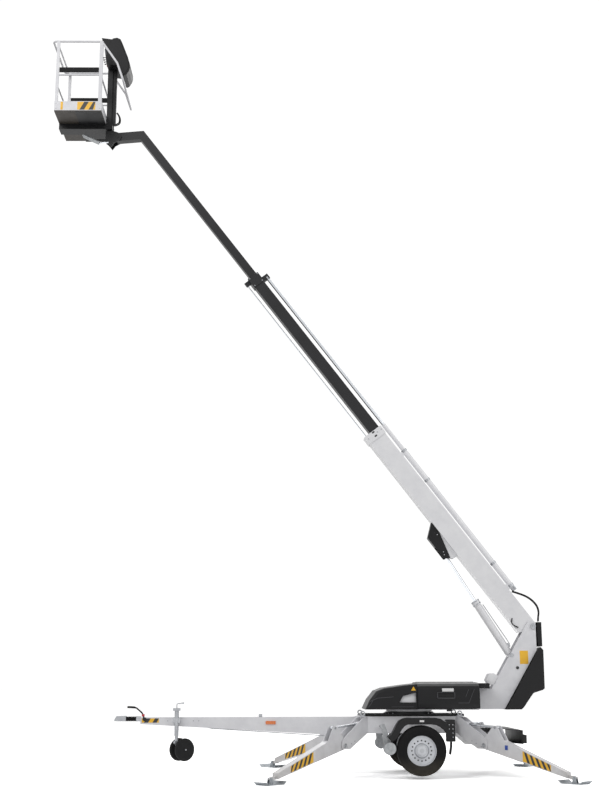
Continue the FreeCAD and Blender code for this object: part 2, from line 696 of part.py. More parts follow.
# --- Turret -------------------------------------------------------------------------------------

def turret_frame():
    """The slewing base, the mast's two cheeks with the web behind them, and both pins."""
    floor = S.turret_floor
    half = S.mast_half_wide
    inner = half - S.mast_plate
    cheek = [(-560, floor), (1262, floor), (1745, 1700), (1745, 2092), (1728, 2104), (1640, 2108),
             (1085, 1168), (200, 1168), (-560, 1060)]
    web = [(1262, floor), (1745, 1700), (1733, 1707), (1250, floor + 6)]
    plate = [(-560, floor), (1262, floor), (1256, floor + 10), (-560, floor + 10)]
    front = [(-560, floor + 5), (-552, floor + 5), (-552, 1055), (-560, 1055)]
    parts = [profile("mast_cheek_a", cheek, inner, half), profile("mast_cheek_b", cheek, -half, -inner),
             profile("mast_web", web, -inner - 1, inner + 1),
             profile("mast_floor", plate, -inner - 1, inner + 1),
             profile("mast_front", front, -inner - 1, inner + 1),
             box("tray", (15, 850), (-470, 470), (floor, floor + 8)),
             rod("turntable", (S.chassis_centre, 0, floor - 25), (0, 0, 1), 27, S.ring_radius - 15),
             across("boom_pivot_pin", S.pivot_x, S.pivot_z, half + 10, S.boom_pin),
             across("lift_foot_pin", S.lift_foot_x, S.lift_foot_z, half + 1, S.lift_pin),
             across("mast_tie", 1500, 1500, inner + 1, 24)]
    node("turret_frame", MACHINE, parts)


def covers():
    """The moulded covers: two hinged halves amidships, the nose, and the mast's back."""
    front, rear = S.cover_front, S.cover_rear
    top, wide, wall = S.cover_top, S.cover_half_wide, S.cover_wall
    floor = S.turret_floor + 15
    for tag, side in (("left", -1), ("right", 1)):
        skin = [(side * 6, top), (side * (wide - 190), top - 8), (side * (wide - 110), top - 24),
                (side * (wide - 55), top - 54), (side * (wide - 22), top - 98),
                (side * (wide - 8), top - 160), (side * wide, floor + 60), (side * (wide - 8), floor),
                (side * 6, floor)]
        core = [(side * 5, top - wall), (side * (wide - 191), top - 8 - wall),
                (side * (wide - 114), top - 24 - wall), (side * (wide - 60), top - 58),
                (side * (wide - 28), top - 101), (side * (wide - 8 - wall), top - 161),
                (side * (wide - wall), floor + 60), (side * (wide - 8 - wall), floor - 5),
                (side * 5, floor - 5)]
        shell = profile("cover_skin_" + tag, skin, front, rear, "YZ")
        hollow = profile("cover_core_" + tag, core, front + wall, rear - wall, "YZ")
        notch = profile("cover_notch_" + tag, [(0, floor - 5), (side * 140, floor - 5),
                                               (side * 140, 1180), (0, 1180)],
                        front - 5, rear + 5, "YZ")
        hinge = rod("cover_hinge_" + tag, (front + 20, side * 12, top), (1, 0, 0), rear - front - 40, 5)
        node("cover_" + tag, MACHINE, [shell, hinge], [hollow, notch])
    nose = [(-723, 896), (-662, 1024), (-563, 1145), (-459, 1185), (-181, 1225), (0, 1244), (0, 896)]
    hollow = [(-715, 890), (-655, 1021), (-559, 1138), (-458, 1178), (-181, 1219), (-6, 1237),
              (-6, 890)]
    window = [(-248, 990), (-198, 1077), (-20, 1122), (-20, 989)]
    shell = rounded(profile("nose_skin", nose, -470, 470), 60,
                    lambda middle, edge: abs(abs(middle.y) - 470) < 1 and middle.z > 900 and middle.x < -1)
    core = rounded(profile("nose_core", hollow, -464, 464), 54,
                   lambda middle, edge: abs(abs(middle.y) - 464) < 1 and middle.z > 900 and middle.x < -7)
    slot = profile("nose_window", window, -480, 480)
    rear_gate = box("nose_gate", (-10, 5), (-464, 464), (890, 1230))
    node("nose_cover", MACHINE, [shell], [core, slot, rear_gate])
    back = [(1270, 884), (1489, 885), (1526, 919), (1623, 1055), (1667, 1110), (1796, 1150),
            (1825, 1171), (1828, 1701), (1794, 1743), (1757, 1712)]
    inner = [(1290, 890), (1486, 891), (1521, 923), (1618, 1058), (1664, 1116), (1793, 1156),
             (1819, 1174), (1822, 1699), (1793, 1735), (1764, 1700)]
    skin = profile("back_skin", back, -190, 190)
    hollow = profile("back_core", inner, -184, 184)
    slot = profile("back_gate", [(1250, 880), (1280, 892), (1770, 1712), (1740, 1725)], -184, 184)
    node("rear_cover", MACHINE, [skin], [hollow, slot])
    node("mast_flap", MACHINE, [box("flap_sheet", (1768, 1830), (-120, 120), (1755, 2094))],
         [box("flap_core", (1762, 1822), (-113, 113), (1750, 2088))])
    blocks = [box("power_block_left", (120, 760), (-440, -160), (898, 1150)),
              box("power_block_right", (160, 700), (160, 440), (898, 1150))]
    pieces("power_pack", MACHINE, blocks)


# --- Boom ---------------------------------------------------------------------------------------

def hollow_section(name, x_span, half, low, high, wall):
    """A rectangular tube along the boom."""
    outer = [(-half, low), (half, low), (half, high), (-half, high)]
    inner = [(wall - half, low + wall), (half - wall, low + wall), (half - wall, high - wall),
             (wall - half, high - wall)]
    return profile(name, [outer, inner], x_span[0], x_span[1], "YZ")


def boom_base():
    """The lowest boom section, with its foot, its head collar and the lift cylinder's lugs."""
    half, low, high, wall = S.base_half_wide, S.base_low, S.base_high, S.base_wall
    end = S.base_long
    foot = [(420, high), (60, high), (0, 45), (-36, 26), (-45, 0), (-30, -40), (55, low), (420, low)]
    lug = [(1430, low + 2), (1440, low - 75), (S.lift_head_along - 60, S.lift_head_across - 35),
           (S.lift_head_along + 40, S.lift_head_across - 35), (1850, low + 2)]
    parts = [hollow_section("base_tube", (60, end), half, low, high, wall),
             profile("foot_a", foot, half - 14, half), profile("foot_b", foot, -half, 14 - half),
             across("foot_boss", 0, 0, half, 45),
             hollow_section("base_head", (end - 110, end + 20), half + 12, low - 12, high + 12, 14),
             profile("lift_lug_a", lug, 45, 56), profile("lift_lug_b", lug, -56, -45)]
    gate = [(-S.mid_half_wide - 5, S.mid_low - 5), (S.mid_half_wide + 5, S.mid_low - 5),
            (S.mid_half_wide + 5, S.mid_high + 5), (-S.mid_half_wide - 5, S.mid_high + 5)]
    collar = [(-half, low), (half, low), (half, high), (-half, high)]
    parts.append(profile("base_guide", [collar, gate], end, end + 20, "YZ",
                         [(0, S.rope_across, S.rope_radius + 6)]))
    parts.append(box("telescope_foot", (600, 690), (-24, 24), (high - 2, S.telescope_across - 30)))
    parts.append(box("telescope_neck", (3060, 3120), (-24, 24), (high - 2, S.telescope_across - 36)))
    bores = [across("foot_bore", 0, 0, half + 5, S.boom_pin + S.running_gap),
             rod("foot_core", (600, 0, S.telescope_across), (1, 0, 0), 2600, S.telescope_radius)]
    node("boom_base", BOOM, parts, bores)


def telescope():
    """The long cylinder on top of the boom, its rod, and the rope tube under the middle section."""
    y = 0
    z = S.telescope_across
    barrel = rod("telescope_tube", (610, y, z), (1, 0, 0), 2520, S.telescope_radius)
    neck = rod("telescope_gland", (3130, y, z), (1, 0, 0), 480, 31)
    bore = rod("telescope_bore", (640, y, z), (1, 0, 0), 3000, S.telescope_rod + S.rod_gap)
    node("telescope_barrel", BOOM, [barrel, neck], [bore])
    bars = [rod("telescope_bar", (3300, y, z), (1, 0, 0), 3150, S.telescope_rod),
            rod("rope_bar", (3340, y, S.rope_across), (1, 0, 0), 3230, S.rope_radius)]
    pieces("telescope_rods", BOOM, bars)


def boom_mid():
    """The middle section, with a head that holds the telescope rod and the rope tube."""
    half, low, high = S.mid_half_wide, S.mid_low, S.mid_high
    end = S.mid_end
    parts = [hollow_section("mid_tube", (S.mid_start, end), half, low, high, 5),
             hollow_section("mid_head", (end - 150, end + 20), half + 10, low - 10, high + 10, 11),
             box("rod_block", (end - 150, end - 70), (-32, 32), (high + 8, S.telescope_across + 34)),
             box("rope_block", (end - 60, end + 10), (-20, 20), (S.rope_across - 20, low - 8))]
    cuts = [rod("rod_seat", (end - 151, 0, S.telescope_across), (1, 0, 0), 1, S.telescope_rod),
            rod("rope_seat", (end - 61, 0, S.rope_across), (1, 0, 0), 31, S.rope_radius)]
    node("boom_mid", BOOM, parts, cuts)


def boom_tip():
    """The upper section with the bent arm that carries the basket."""
    half, low, high = S.tip_half_wide, S.tip_low, S.tip_high
    bend_cos = cosine(S.elbow_bend)
    bend_sin = sine(S.elbow_bend)
    reach = S.arm_half
    along, aside = S.elbow_along, S.elbow_across
    end_x = along + S.arm_long * bend_cos
    end_z = aside - S.arm_long * bend_sin
    outer_x = along + reach * bend_sin
    outer_z = aside + reach * bend_cos
    inner_x = along - reach * bend_sin
    inner_z = aside - reach * bend_cos
    mitre_out = outer_x - (high - outer_z) * bend_cos / bend_sin
    mitre_in = inner_x + (inner_z - low) * bend_cos / bend_sin
    arm = [(9250, high), (mitre_out, high), (end_x + reach * bend_sin, end_z + reach * bend_cos),
           (end_x - reach * bend_sin, end_z - reach * bend_cos), (mitre_in, low), (9250, low)]
    core = [(9240, high - 6), (mitre_out - 4, high - 6),
            (end_x + (reach - 6) * bend_sin - 90 * bend_cos,
             end_z + (reach - 6) * bend_cos + 90 * bend_sin),
            (end_x - (reach - 6) * bend_sin - 90 * bend_cos,
             end_z - (reach - 6) * bend_cos + 90 * bend_sin),
            (mitre_in - 4, low + 6), (9240, low + 6)]
    parts = [hollow_section("tip_tube", (S.tip_start, 9260), half, low, high, 4),
             profile("tip_arm", arm, -half, half),
             across("tip_boss", end_x, end_z, half, reach)]
    cuts = [profile("tip_core", core, 6 - half, half - 6),
            across("tip_bore", end_x, end_z, half + 5, S.level_pin + S.running_gap)]
    node("boom_tip", BOOM, parts, cuts)


def lift_cylinder():
    """The barrel on the turret and the rod that reaches the boom's lugs."""
    head_x, head_z = boom_point(S.lift_head_along, S.lift_head_across)
    run_x = head_x - S.lift_foot_x
    run_z = head_z - S.lift_foot_z
    length = math.hypot(run_x, run_z)
    out = Vector(run_x, 0, run_z).normalize()
    turn = Rotation(out, Vector(0, -1, 0), Vector(-out.z, 0, out.x) * -1, "XYZ")
    line = in_machine(Placement(Vector(S.lift_foot_x, 0, S.lift_foot_z), turn))
    barrel = rod("lift_tube", (30, 0, 0), (1, 0, 0), S.lift_barrel_long - 30, S.lift_barrel_radius)
    collar = rod("lift_gland", (S.lift_barrel_long - 45, 0, 0), (1, 0, 0), 65, S.lift_barrel_radius + 7)
    eye = across("lift_eye", 0, 0, 40, 45)
    bore = rod("lift_bore", (60, 0, 0), (1, 0, 0), 900, S.lift_rod_radius + S.rod_gap)
    hole = across("lift_hole", 0, 0, 45, S.lift_pin + S.running_gap)
    node("lift_barrel", line, [barrel, collar, eye], [bore, hole])
    bar = rod("lift_bar", (620, 0, 0), (1, 0, 0), length - 645, S.lift_rod_radius)
    head = across("lift_head", length, 0, 30, 35)
    hole = across("lift_head_hole", length, 0, 35, S.lift_pin)
    node("lift_rod", line, [bar, head], [hole])


def pin_cover():
    """The black guard under the boom, over the lift cylinder's upper end."""
    low = S.base_low
    cheek = [(2039, low - 3), (1896, -400), (1514, -400), (1473, -318), (1844, low - 3)]
    nose = [(2039, low - 3), (1896, -400), (1720, -400), (1720, -396), (1894, -396), (2034, low - 3)]
    parts = [profile("guard_cheek_a", cheek, 62, 66), profile("guard_cheek_b", cheek, -66, -62),
             profile("guard_nose", nose, -63, 63)]
    node("pin_cover", BOOM, parts)


def boom_hose():
    """The hose bundle from the boom's foot over to the mast's flap."""
    route = [(1441, -60, 2534), (1560, -60, 2500), (1690, -60, 2440), (1790, -60, 2340),
             (1815, -60, 2240), (1798, -60, 2152)]
    node("boom_hose", MACHINE, [tube("hose_bundle", route, 90, 15)])


# --- Basket -------------------------------------------------------------------------------------

def carrier():
    """The casting between the boom's arm and the basket, with both pins."""
    arm_half = S.tip_half_wide
    inner = arm_half + 3
    outer = inner + 14
    fork = [(-80, 92), (-30, 80), (40, 50), (58, 0), (40, -50), (-50, -100), (-96, -168), (-150, -100),
            (-190, -60), (-190, 92)]
    parts = [profile("fork_a", fork, inner, outer), profile("fork_b", fork, -outer, -inner),
             box("carrier_block", (-190, -78), (-outer, outer), (-70, 92)),
             across("level_pin_bar", 0, 0, outer + 4, S.level_pin),
             rod("swing_pin_bar", (S.swing_x, 0, 90), (0, 0, 1), 105, S.swing_pin)]
    node("basket_carrier", BASKET, parts)


def basket_frame():
    """The black beam under the floor, the cross plate and the swing bearing."""
    low = S.basket_floor_low
    left, right, deep = S.basket_left, S.basket_right, S.basket_half_deep
    parts = [box("basket_beam", (left, S.swing_x + 45), (-105, 105), (low - 90, low)),
             box("basket_plate", (right - 400, right), (-deep, deep), (low - 14, low)),
             rod("swing_boss", (S.swing_x, 0, low - 95), (0, 0, 1), 95, 56)]
    bore = rod("swing_bore", (S.swing_x, 0, low - 100), (0, 0, 1), 96, S.swing_pin + S.running_gap)
    node("basket_frame", BASKET, parts, [bore])
    board = box("floor_board", (left, right), (-deep, deep), (low, low + 16))
    node("basket_floor", BASKET, [board])
    toe_low = low + 16
    toe = [(left, -deep), (right, -deep), (right, deep), (left, deep)]
    inside = [(left + 3, 3 - deep), (right - 3, 3 - deep), (right - 3, deep - 3), (left + 3, deep - 3)]
    node("toe_boards", BASKET, [profile("toe_ring", [toe, inside], toe_low, toe_low + S.toe_height,
                                        "XY")])


def basket_rails():
    """Four posts with round rails around them, and the bar around the control console."""
    low = S.basket_floor_low + 16
    left, right, deep = S.basket_left + 4, S.basket_right - 4, S.basket_half_deep - 4
    top = S.basket_floor_low + S.rail_height
    radius = S.rail_tube
    parts = []
    for x, width in ((left, 44), (right - 54, 54)):
        for y in (-deep, deep - 30):
            parts.append(box("post_%d_%d" % (x, y), (x, x + width), (y, y + 30), (low, top)))
    middle = low + 596
    y_rail = deep - 15
    far_left = left - RAIL_OVERHANG
    loop = [(right - 30, -y_rail, top), (far_left, -y_rail, top), (far_left, y_rail, top),
            (right - 30, y_rail, top)]
    parts.append(tube("top_rail", loop, 50, radius))
    parts.append(rod("front_rail", (left + 22, -y_rail, top - 60), (0, 1, 0), 2 * y_rail, radius - 3))
    parts.append(rod("front_mid_rail", (left + 22, -y_rail, middle - 170), (0, 1, 0), 2 * y_rail,
                     radius - 3))
    parts.append(rod("rear_mid_rail", (right - 26, -y_rail, middle), (0, 1, 0), 2 * y_rail, radius - 3))
    for y in (-y_rail, y_rail):
        parts.append(rod("side_rail_%d" % y, (left + 5, y, middle), (1, 0, 0), right - left - 10,
                         radius - 3))
    guard = [(right - 30, -y_rail, top), (right + 10, -y_rail, top - 50),
             (right + 220, -y_rail, top - 360), (right + 318, -y_rail, top - 650),
             (right + 318, y_rail, top - 650), (right + 220, y_rail, top - 360),
             (right + 10, y_rail, top - 50), (right - 30, y_rail, top)]
    parts.append(tube("guard_bar", guard, 50, radius))
    node("basket_rails", BASKET, parts)
    pads = [box("pad_%d" % side, (left + 50, right - 60),
                (side * (y_rail - 2) - 12, side * (y_rail - 2) + 12), (middle + 48, middle + 122))
            for side in (-1, 1)]
    pieces("side_boards", BASKET, pads)


def console():
    """The control console on its post at the boom's side of the basket."""
    low = S.basket_floor_low
    cover = box("post_cover", (-188, -109), (-55, 55), (low + 17, 1133))
    post = box("post_tube", (-110, -50), (-32, 32), (low + 17, 1133))
    node("console_post", BASKET, [cover, post])
    outline = [(-135, 1500), (-103, 1599), (-40, 1612), (15, 1586), (52, 1505), (90, 1405),
               (135, 1290), (172, 1166), (176, 1100), (160, 1045), (125, 985), (83, 958), (34, 992),
               (-10, 1130), (-190, 1150), (-200, 1300), (-160, 1430)]
    shell = rounded(profile("console_block", outline, -230, 230), 28,
                    lambda middle, edge: abs(abs(middle.y) - 230) < 1 and middle.x > -95)
    papers = [(-300, 1665), (-110, 1640), (-125, 1500), (-240, 1500)]
    node("console", BASKET, [shell, profile("document_box", papers, -100, 100)])


def build():
    """Makes every sub-part."""
    chassis_frame()
    deck_plate()
    lifting_eyes()
    tow_bar()
    coupling()
    jockey_parts()
    axle_and_wheels()
    fenders()
    drive_units()
    rear_equipment()
    for tag, place in CORNERS.items():
        outrigger(tag, place)
    turret_frame()
    covers()
    boom_base()
    telescope()
    boom_mid()
    boom_tip()
    lift_cylinder()
    pin_cover()
    boom_hose()
    carrier()
    basket_frame()
    basket_rails()
    console()


def check():
    """Stops if any object failed, or any sub-part is empty or broken."""
    doc.recompute()
    for item in doc.Objects:
        if "Invalid" in item.State or "Error" in item.State:
            raise RuntimeError("%s failed: %s" % (item.Label, item.State))
    for item in NODES:
        if item.Shape.isNull() or not item.Shape.isValid() or not item.Shape.Solids:
            raise RuntimeError("%s has no valid solid" % item.Label)


def write():
    """Writes each sub-part to its own file."""
    os.makedirs("parts", exist_ok=True)
    for item in NODES:
        item.Shape.exportStep("parts/%s.step" % item.Label)


build()
check()
write()
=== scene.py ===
import json
import logging
import math
from dataclasses import dataclass, field
from enum import Enum

import bmesh
import bpy
from mathutils import Matrix, Vector


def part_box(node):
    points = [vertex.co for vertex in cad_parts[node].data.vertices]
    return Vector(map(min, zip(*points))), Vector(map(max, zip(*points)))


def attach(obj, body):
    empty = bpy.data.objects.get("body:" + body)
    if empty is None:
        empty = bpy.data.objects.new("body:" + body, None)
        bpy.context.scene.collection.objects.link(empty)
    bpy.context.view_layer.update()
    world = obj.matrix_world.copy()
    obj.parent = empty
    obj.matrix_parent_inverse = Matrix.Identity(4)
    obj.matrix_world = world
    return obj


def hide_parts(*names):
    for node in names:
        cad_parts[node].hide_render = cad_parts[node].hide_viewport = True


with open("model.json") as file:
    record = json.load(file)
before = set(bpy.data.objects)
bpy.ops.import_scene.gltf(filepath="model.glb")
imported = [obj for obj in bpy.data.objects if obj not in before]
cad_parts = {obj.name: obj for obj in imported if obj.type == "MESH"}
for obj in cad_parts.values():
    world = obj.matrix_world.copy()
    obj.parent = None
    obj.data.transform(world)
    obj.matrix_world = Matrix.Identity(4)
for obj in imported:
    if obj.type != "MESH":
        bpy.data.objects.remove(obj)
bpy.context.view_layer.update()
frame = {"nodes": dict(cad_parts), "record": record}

LOG = logging.getLogger("boom_lift")
MM = 0.001


class Body(Enum):
    """The rigid bodies that pieces ride on."""

    CHASSIS = "chassis"
    TURRET = "turret"
    BOOM = "boom"
    MIDDLE = "boom_middle"
    TOP = "boom_top"
    BASKET = "basket"
    CARRIER = "level_head"
    WHEEL_LEFT = "wheel_left"
    WHEEL_RIGHT = "wheel_right"


def linear(code: str) -> tuple[float, float, float, float]:
    """Turns an sRGB hex colour into linear red, green, blue and alpha.

    Args:
        code: six hex digits.

    Returns:
        The linear colour with an alpha of 1.
    """
    parts = [int(code[place:place + 2], 16) / 255 for place in (0, 2, 4)]
    red, green, blue = [part / 12.92 if part <= 0.04045 else ((part + 0.055) / 1.055) ** 2.4
                        for part in parts]
    return red, green, blue, 1.0


def add_node(tree: bpy.types.NodeTree, kind: str, settings: dict | None = None,
             links: dict | None = None) -> bpy.types.Node:
    """Adds one node.

    Args:
        tree: the material's node tree.
        kind: the node's type name.
        settings: property or input names with their values.
        links: input names with the sockets that feed them.

    Returns:
        The new node.
    """
    item = tree.nodes.new(kind)
    for name, value in (settings or {}).items():
        if isinstance(name, str) and hasattr(item, name):
            setattr(item, name, value)
        else:
            item.inputs[name].default_value = value
    for name, socket in (links or {}).items():
        tree.links.new(socket, item.inputs[name])
    return item


@dataclass(frozen=True)
class Finish:
    """One material: what it is made of and how its surface was made.

    Patch is the size in millimetres of slow colour drift, grain the size of the fine texture, and
    relief the depth of that texture. Both colours are sRGB hex.
    """

    name: str
    colour: str
    drift: str
    roughness: float = 0.4
    metallic: float = 0.0
    coat: float = 0.0
    shine: float = 0.5
    patch: float = 180.0
    grain: float = 2.5
    relief: float = 0.05
    dust: str = ""
    dust_top: float = 0.0
    stripes: str = ""
    stripe_mm: float = 0.0
    stripe_slant: float = 0.0

    def make(self) -> bpy.types.Material:
        """Builds the material once and gives it back."""
        ready = bpy.data.materials.get(self.name)
        if ready:
            return ready
        material = bpy.data.materials.new(self.name)
        material.use_nodes = True
        tree = material.node_tree
        shader = tree.nodes["Principled BSDF"]
        place = add_node(tree, "ShaderNodeTexCoord")
        slow = add_node(tree, "ShaderNodeTexNoise", {"Scale": 1 / (self.patch * MM), "Detail": 5.0,
                                                     "Roughness": 0.6},
                        {"Vector": place.outputs["Object"]})
        spread = add_node(tree, "ShaderNodeMapRange", {"From Min": 0.35, "From Max": 0.7},
                          {"Value": slow.outputs["Fac"]})
        mix = add_node(tree, "ShaderNodeMix", {"data_type": "RGBA"},
                       {"Factor": spread.outputs["Result"]})
        mix.inputs[6].default_value = linear(self.colour)
        mix.inputs[7].default_value = linear(self.drift)
        colour = mix.outputs[2]
        if self.stripes:
            colour = self.striped(tree, place, colour)
        if self.dust:
            colour = self.dusted(tree, colour, slow)
        tree.links.new(colour, shader.inputs["Base Color"])
        fine = add_node(tree, "ShaderNodeTexNoise", {"Scale": 1 / (self.grain * MM), "Detail": 3.0},
                        {"Vector": place.outputs["Object"]})
        rough = add_node(tree, "ShaderNodeMapRange", {"To Min": self.roughness * 0.85,
                                                      "To Max": min(1.0, self.roughness * 1.2)},
                         {"Value": slow.outputs["Fac"]})
        tree.links.new(rough.outputs["Result"], shader.inputs["Roughness"])
        bump = add_node(tree, "ShaderNodeBump", {"Strength": 0.35, "Distance": self.relief * MM},
                        {"Height": fine.outputs["Fac"]})
        tree.links.new(bump.outputs["Normal"], shader.inputs["Normal"])
        shader.inputs["Metallic"].default_value = self.metallic
        shader.inputs["Coat Weight"].default_value = self.coat
        shader.inputs["Specular IOR Level"].default_value = self.shine
        shader.inputs["Coat Roughness"].default_value = 0.12
        return material

    def striped(self, tree: bpy.types.NodeTree, place: bpy.types.Node,
                colour: bpy.types.NodeSocket) -> bpy.types.NodeSocket:
        """Adds slanted warning stripes along X and Z.

        Args:
            tree: the material's node tree.
            place: the texture coordinates.
            colour: the paint between the stripes.

        Returns:
            The striped colour.
        """
        turn = add_node(tree, "ShaderNodeMapping", {"Rotation": (0.0, self.stripe_slant, 0.0)},
                        {"Vector": place.outputs["Object"]})
        axes = add_node(tree, "ShaderNodeSeparateXYZ", None, {"Vector": turn.outputs["Vector"]})
        wave = add_node(tree, "ShaderNodeMath", {"operation": "PINGPONG", 1: self.stripe_mm * MM},
                        {0: axes.outputs["X"]})
        edge = add_node(tree, "ShaderNodeMath", {"operation": "GREATER_THAN",
                                                 1: self.stripe_mm * MM / 2},
                        {0: wave.outputs["Value"]})
        mix = add_node(tree, "ShaderNodeMix", {"data_type": "RGBA"},
                       {"Factor": edge.outputs["Value"]})
        tree.links.new(colour, mix.inputs[6])
        mix.inputs[7].default_value = linear(self.stripes)
        return mix.outputs[2]

    def dusted(self, tree: bpy.types.NodeTree, colour: bpy.types.NodeSocket,
               slow: bpy.types.Node) -> bpy.types.NodeSocket:
        """Adds road dust that thins out upwards.

        Args:
            tree: the material's node tree.
            colour: the clean colour.
            slow: the noise that breaks the dust up.

        Returns:
            The dusted colour.
        """
        spot = add_node(tree, "ShaderNodeNewGeometry")
        axes = add_node(tree, "ShaderNodeSeparateXYZ", None, {"Vector": spot.outputs["Position"]})
        fade = add_node(tree, "ShaderNodeMapRange", {"From Min": self.dust_top, "From Max": 0.0,
                                                     "To Max": 0.75},
                        {"Value": axes.outputs["Z"]})
        amount = add_node(tree, "ShaderNodeMath", {"operation": "MULTIPLY"},
                          {0: fade.outputs["Result"], 1: slow.outputs["Fac"]})
        mix = add_node(tree, "ShaderNodeMix", {"data_type": "RGBA"},
                       {"Factor": amount.outputs["Value"]})
        tree.links.new(colour, mix.inputs[6])
        mix.inputs[7].default_value = linear(self.dust)
        return mix.outputs[2]


# Two-pack gloss enamel sprayed on steel: smooth, with a soft reflection and a faint orange peel
WHITE = Finish("white_enamel_sprayed", "E6E6E9", "DADADE", 0.34, coat=0.25, grain=6, relief=0.05,
               dust="A79E90", dust_top=0.6)
BOOM_WHITE = Finish("boom_enamel_sprayed", "EAEAEC", "E1E1E4", 0.34, coat=0.25, grain=6, relief=0.05)
BLACK = Finish("black_enamel_sprayed", "0E0E10", "151517", 0.45, shine=0.3, grain=5, relief=0.05)
BOOM_BLACK = Finish("boom_black_enamel_sprayed", "131315", "19191C", 0.42, shine=0.35, grain=5, relief=0.05)
# Vacuum-formed ABS covers: an even satin black with a slight leather grain
COVER = Finish("abs_cover_formed", "08080A", "0E0E10", 0.42, shine=0.25, grain=4, relief=0.08)
# Painted highlight: a lighter grey that stands in for the light caught along the covers' pressed lines and
# handle frame
COVER_LINE_HIGHLIGHT = Finish("abs_cover_line_painted_highlight", "323236", "262629", 0.4, grain=4, relief=0.05)
# Carbon-filled tyre rubber from a steel mould: dull, with road dust low on the walls
TYRE = Finish("tyre_rubber_moulded", "0F0F10", "181819", 0.85, shine=0.2, grain=3, relief=0.25, dust="6E675C",
              dust_top=0.3)
SOLID_RUBBER = Finish("solid_rubber_moulded", "0F0F10", "181819", 0.75, shine=0.25, grain=3, relief=0.15)
RIM = Finish("rim_steel_silvered", "B9BBBF", "A8AAAE", 0.36, metallic=0.55, grain=5, relief=0.05)
CHROME = Finish("hard_chrome_ground", "D2D5D9", "C7CACE", 0.14, metallic=1.0, grain=1.5, relief=0.01)
GALVANISED = Finish("steel_hot_dip_galvanised", "A3A7AB", "8C9195", 0.5, metallic=0.7, patch=25,
                    grain=6, relief=0.1)
ZINC = Finish("steel_zinc_plated", "ABADB0", "97999D", 0.38, metallic=0.75, grain=3, relief=0.03)
CAST_ALLOY = Finish("alloy_motor_cast", "A9ABAD", "8D9092", 0.5, metallic=0.6, patch=40, grain=2,
                    relief=0.15)
RAIL = Finish("rail_tube_powder_coated", "DADADD", "CFCFD3", 0.4, coat=0.1, grain=4, relief=0.04)
PANEL = Finish("abs_panel_moulded", "4A4B50", "404146", 0.5, grain=2.5, relief=0.08)
PLYWOOD = Finish("plywood_film_faced", "2E2822", "241F1A", 0.55, patch=90, grain=5, relief=0.1)
YELLOW = Finish("warning_film_yellow", "F4BE33", "ECB42B", 0.4, grain=5, relief=0.02)
# Flat black film; the same black also paints the shade inside the wheels' cooling holes and the boom collar's
# openings
BLACK_FILM_AND_SHADE = Finish("black_film_and_painted_shade", "17171A", "1E1E20", 0.4, grain=5, relief=0.02)
BLANK_WHITE = Finish("label_film_white", "ECECEC", "E2E2E2", 0.4, grain=5, relief=0.02)
LABEL_BLUE = Finish("label_film_blue", "2E4FA8", "284698", 0.4, grain=5, relief=0.02)
RED_LENS = Finish("lamp_lens_red_acrylic", "B32414", "9A1C10", 0.12, coat=0.6, patch=30, grain=8,
                  relief=0.3)
AMBER_LENS = Finish("lamp_lens_amber_acrylic", "E8761C", "D76714", 0.12, coat=0.6, patch=30, grain=8,
                    relief=0.3)
RED_PLASTIC = Finish("nylon_red_moulded", "B7202B", "A21A24", 0.4, grain=3, relief=0.05)

NODE_FINISH = {
    TYRE: ("tyre_left", "tyre_right"),
    SOLID_RUBBER: ("jockey_wheels", "coupling_bellows", "boom_hose", "side_boards"),
    RIM: ("rim_left", "rim_right"),
    CHROME: ("lift_rod", "telescope_rods", "leg_rod_front_left", "leg_rod_front_right",
             "leg_rod_rear_left", "leg_rod_rear_right"),
    GALVANISED: ("pad_front_left", "pad_front_right", "pad_rear_left", "pad_rear_right"),
    ZINC: ("jockey_clamp", "jockey_tube", "jockey_fork", "coupling_head", "lifting_eyes"),
    CAST_ALLOY: ("drive_units",),
    COVER: ("nose_cover", "cover_left", "cover_right", "rear_cover", "mast_flap", "pin_cover",
            "fenders", "console"),
    PLYWOOD: ("basket_floor",),
    RAIL: ("basket_rails", "toe_boards"),
    BOOM_BLACK: ("boom_mid", "boom_tip"),
    BLACK: ("slewing_base", "basket_carrier", "basket_frame", "valve_box", "power_pack",
            "axle_beam", "handbrake_lever", "console_post", "light_bar"),
    BOOM_WHITE: ("boom_base", "telescope_barrel", "lift_barrel"),
    WHITE: ("chassis_frame", "tow_bar", "turret_frame", "leg_front_left", "leg_front_right",
            "leg_rear_left", "leg_rear_right", "leg_barrel_front_left", "leg_barrel_front_right",
            "leg_barrel_rear_left", "leg_barrel_rear_right"),
}


def dress_nodes() -> None:
    """Gives every carried-over node its finish."""
    for finish, names in NODE_FINISH.items():
        material = finish.make()
        for name in names:
            mesh = frame["nodes"][name].data
            mesh.materials.clear()
            mesh.materials.append(material)
            LOG.info("dressed %s with %s", name, finish.name)


def deselect() -> None:
    """Clears the selection, which the loaded nodes start in."""
    bpy.ops.object.select_all(action="DESELECT")


def shaped(piece: bpy.types.Object, edge: float = 0.0, segments: int = 2,
           smooth: float = 35.0) -> bpy.types.Object:
    """Rounds a piece's edges and smooths its curved faces.

    Args:
        piece: the new object.
        edge: the width of the rounded edges.
        segments: how many faces round each edge.
        smooth: the angle in degrees past which an edge stays sharp.

    Returns:
        The piece.
    """
    deselect()
    piece.select_set(True)
    bpy.context.view_layer.objects.active = piece
    if edge:
        bevel = piece.modifiers.new("edge", "BEVEL")
        bevel.width = edge
        bevel.segments = segments
        bevel.limit_method = "ANGLE"
        bpy.ops.object.modifier_apply(modifier="edge")
    bpy.ops.object.shade_smooth_by_angle(angle=math.radians(smooth))
    return piece


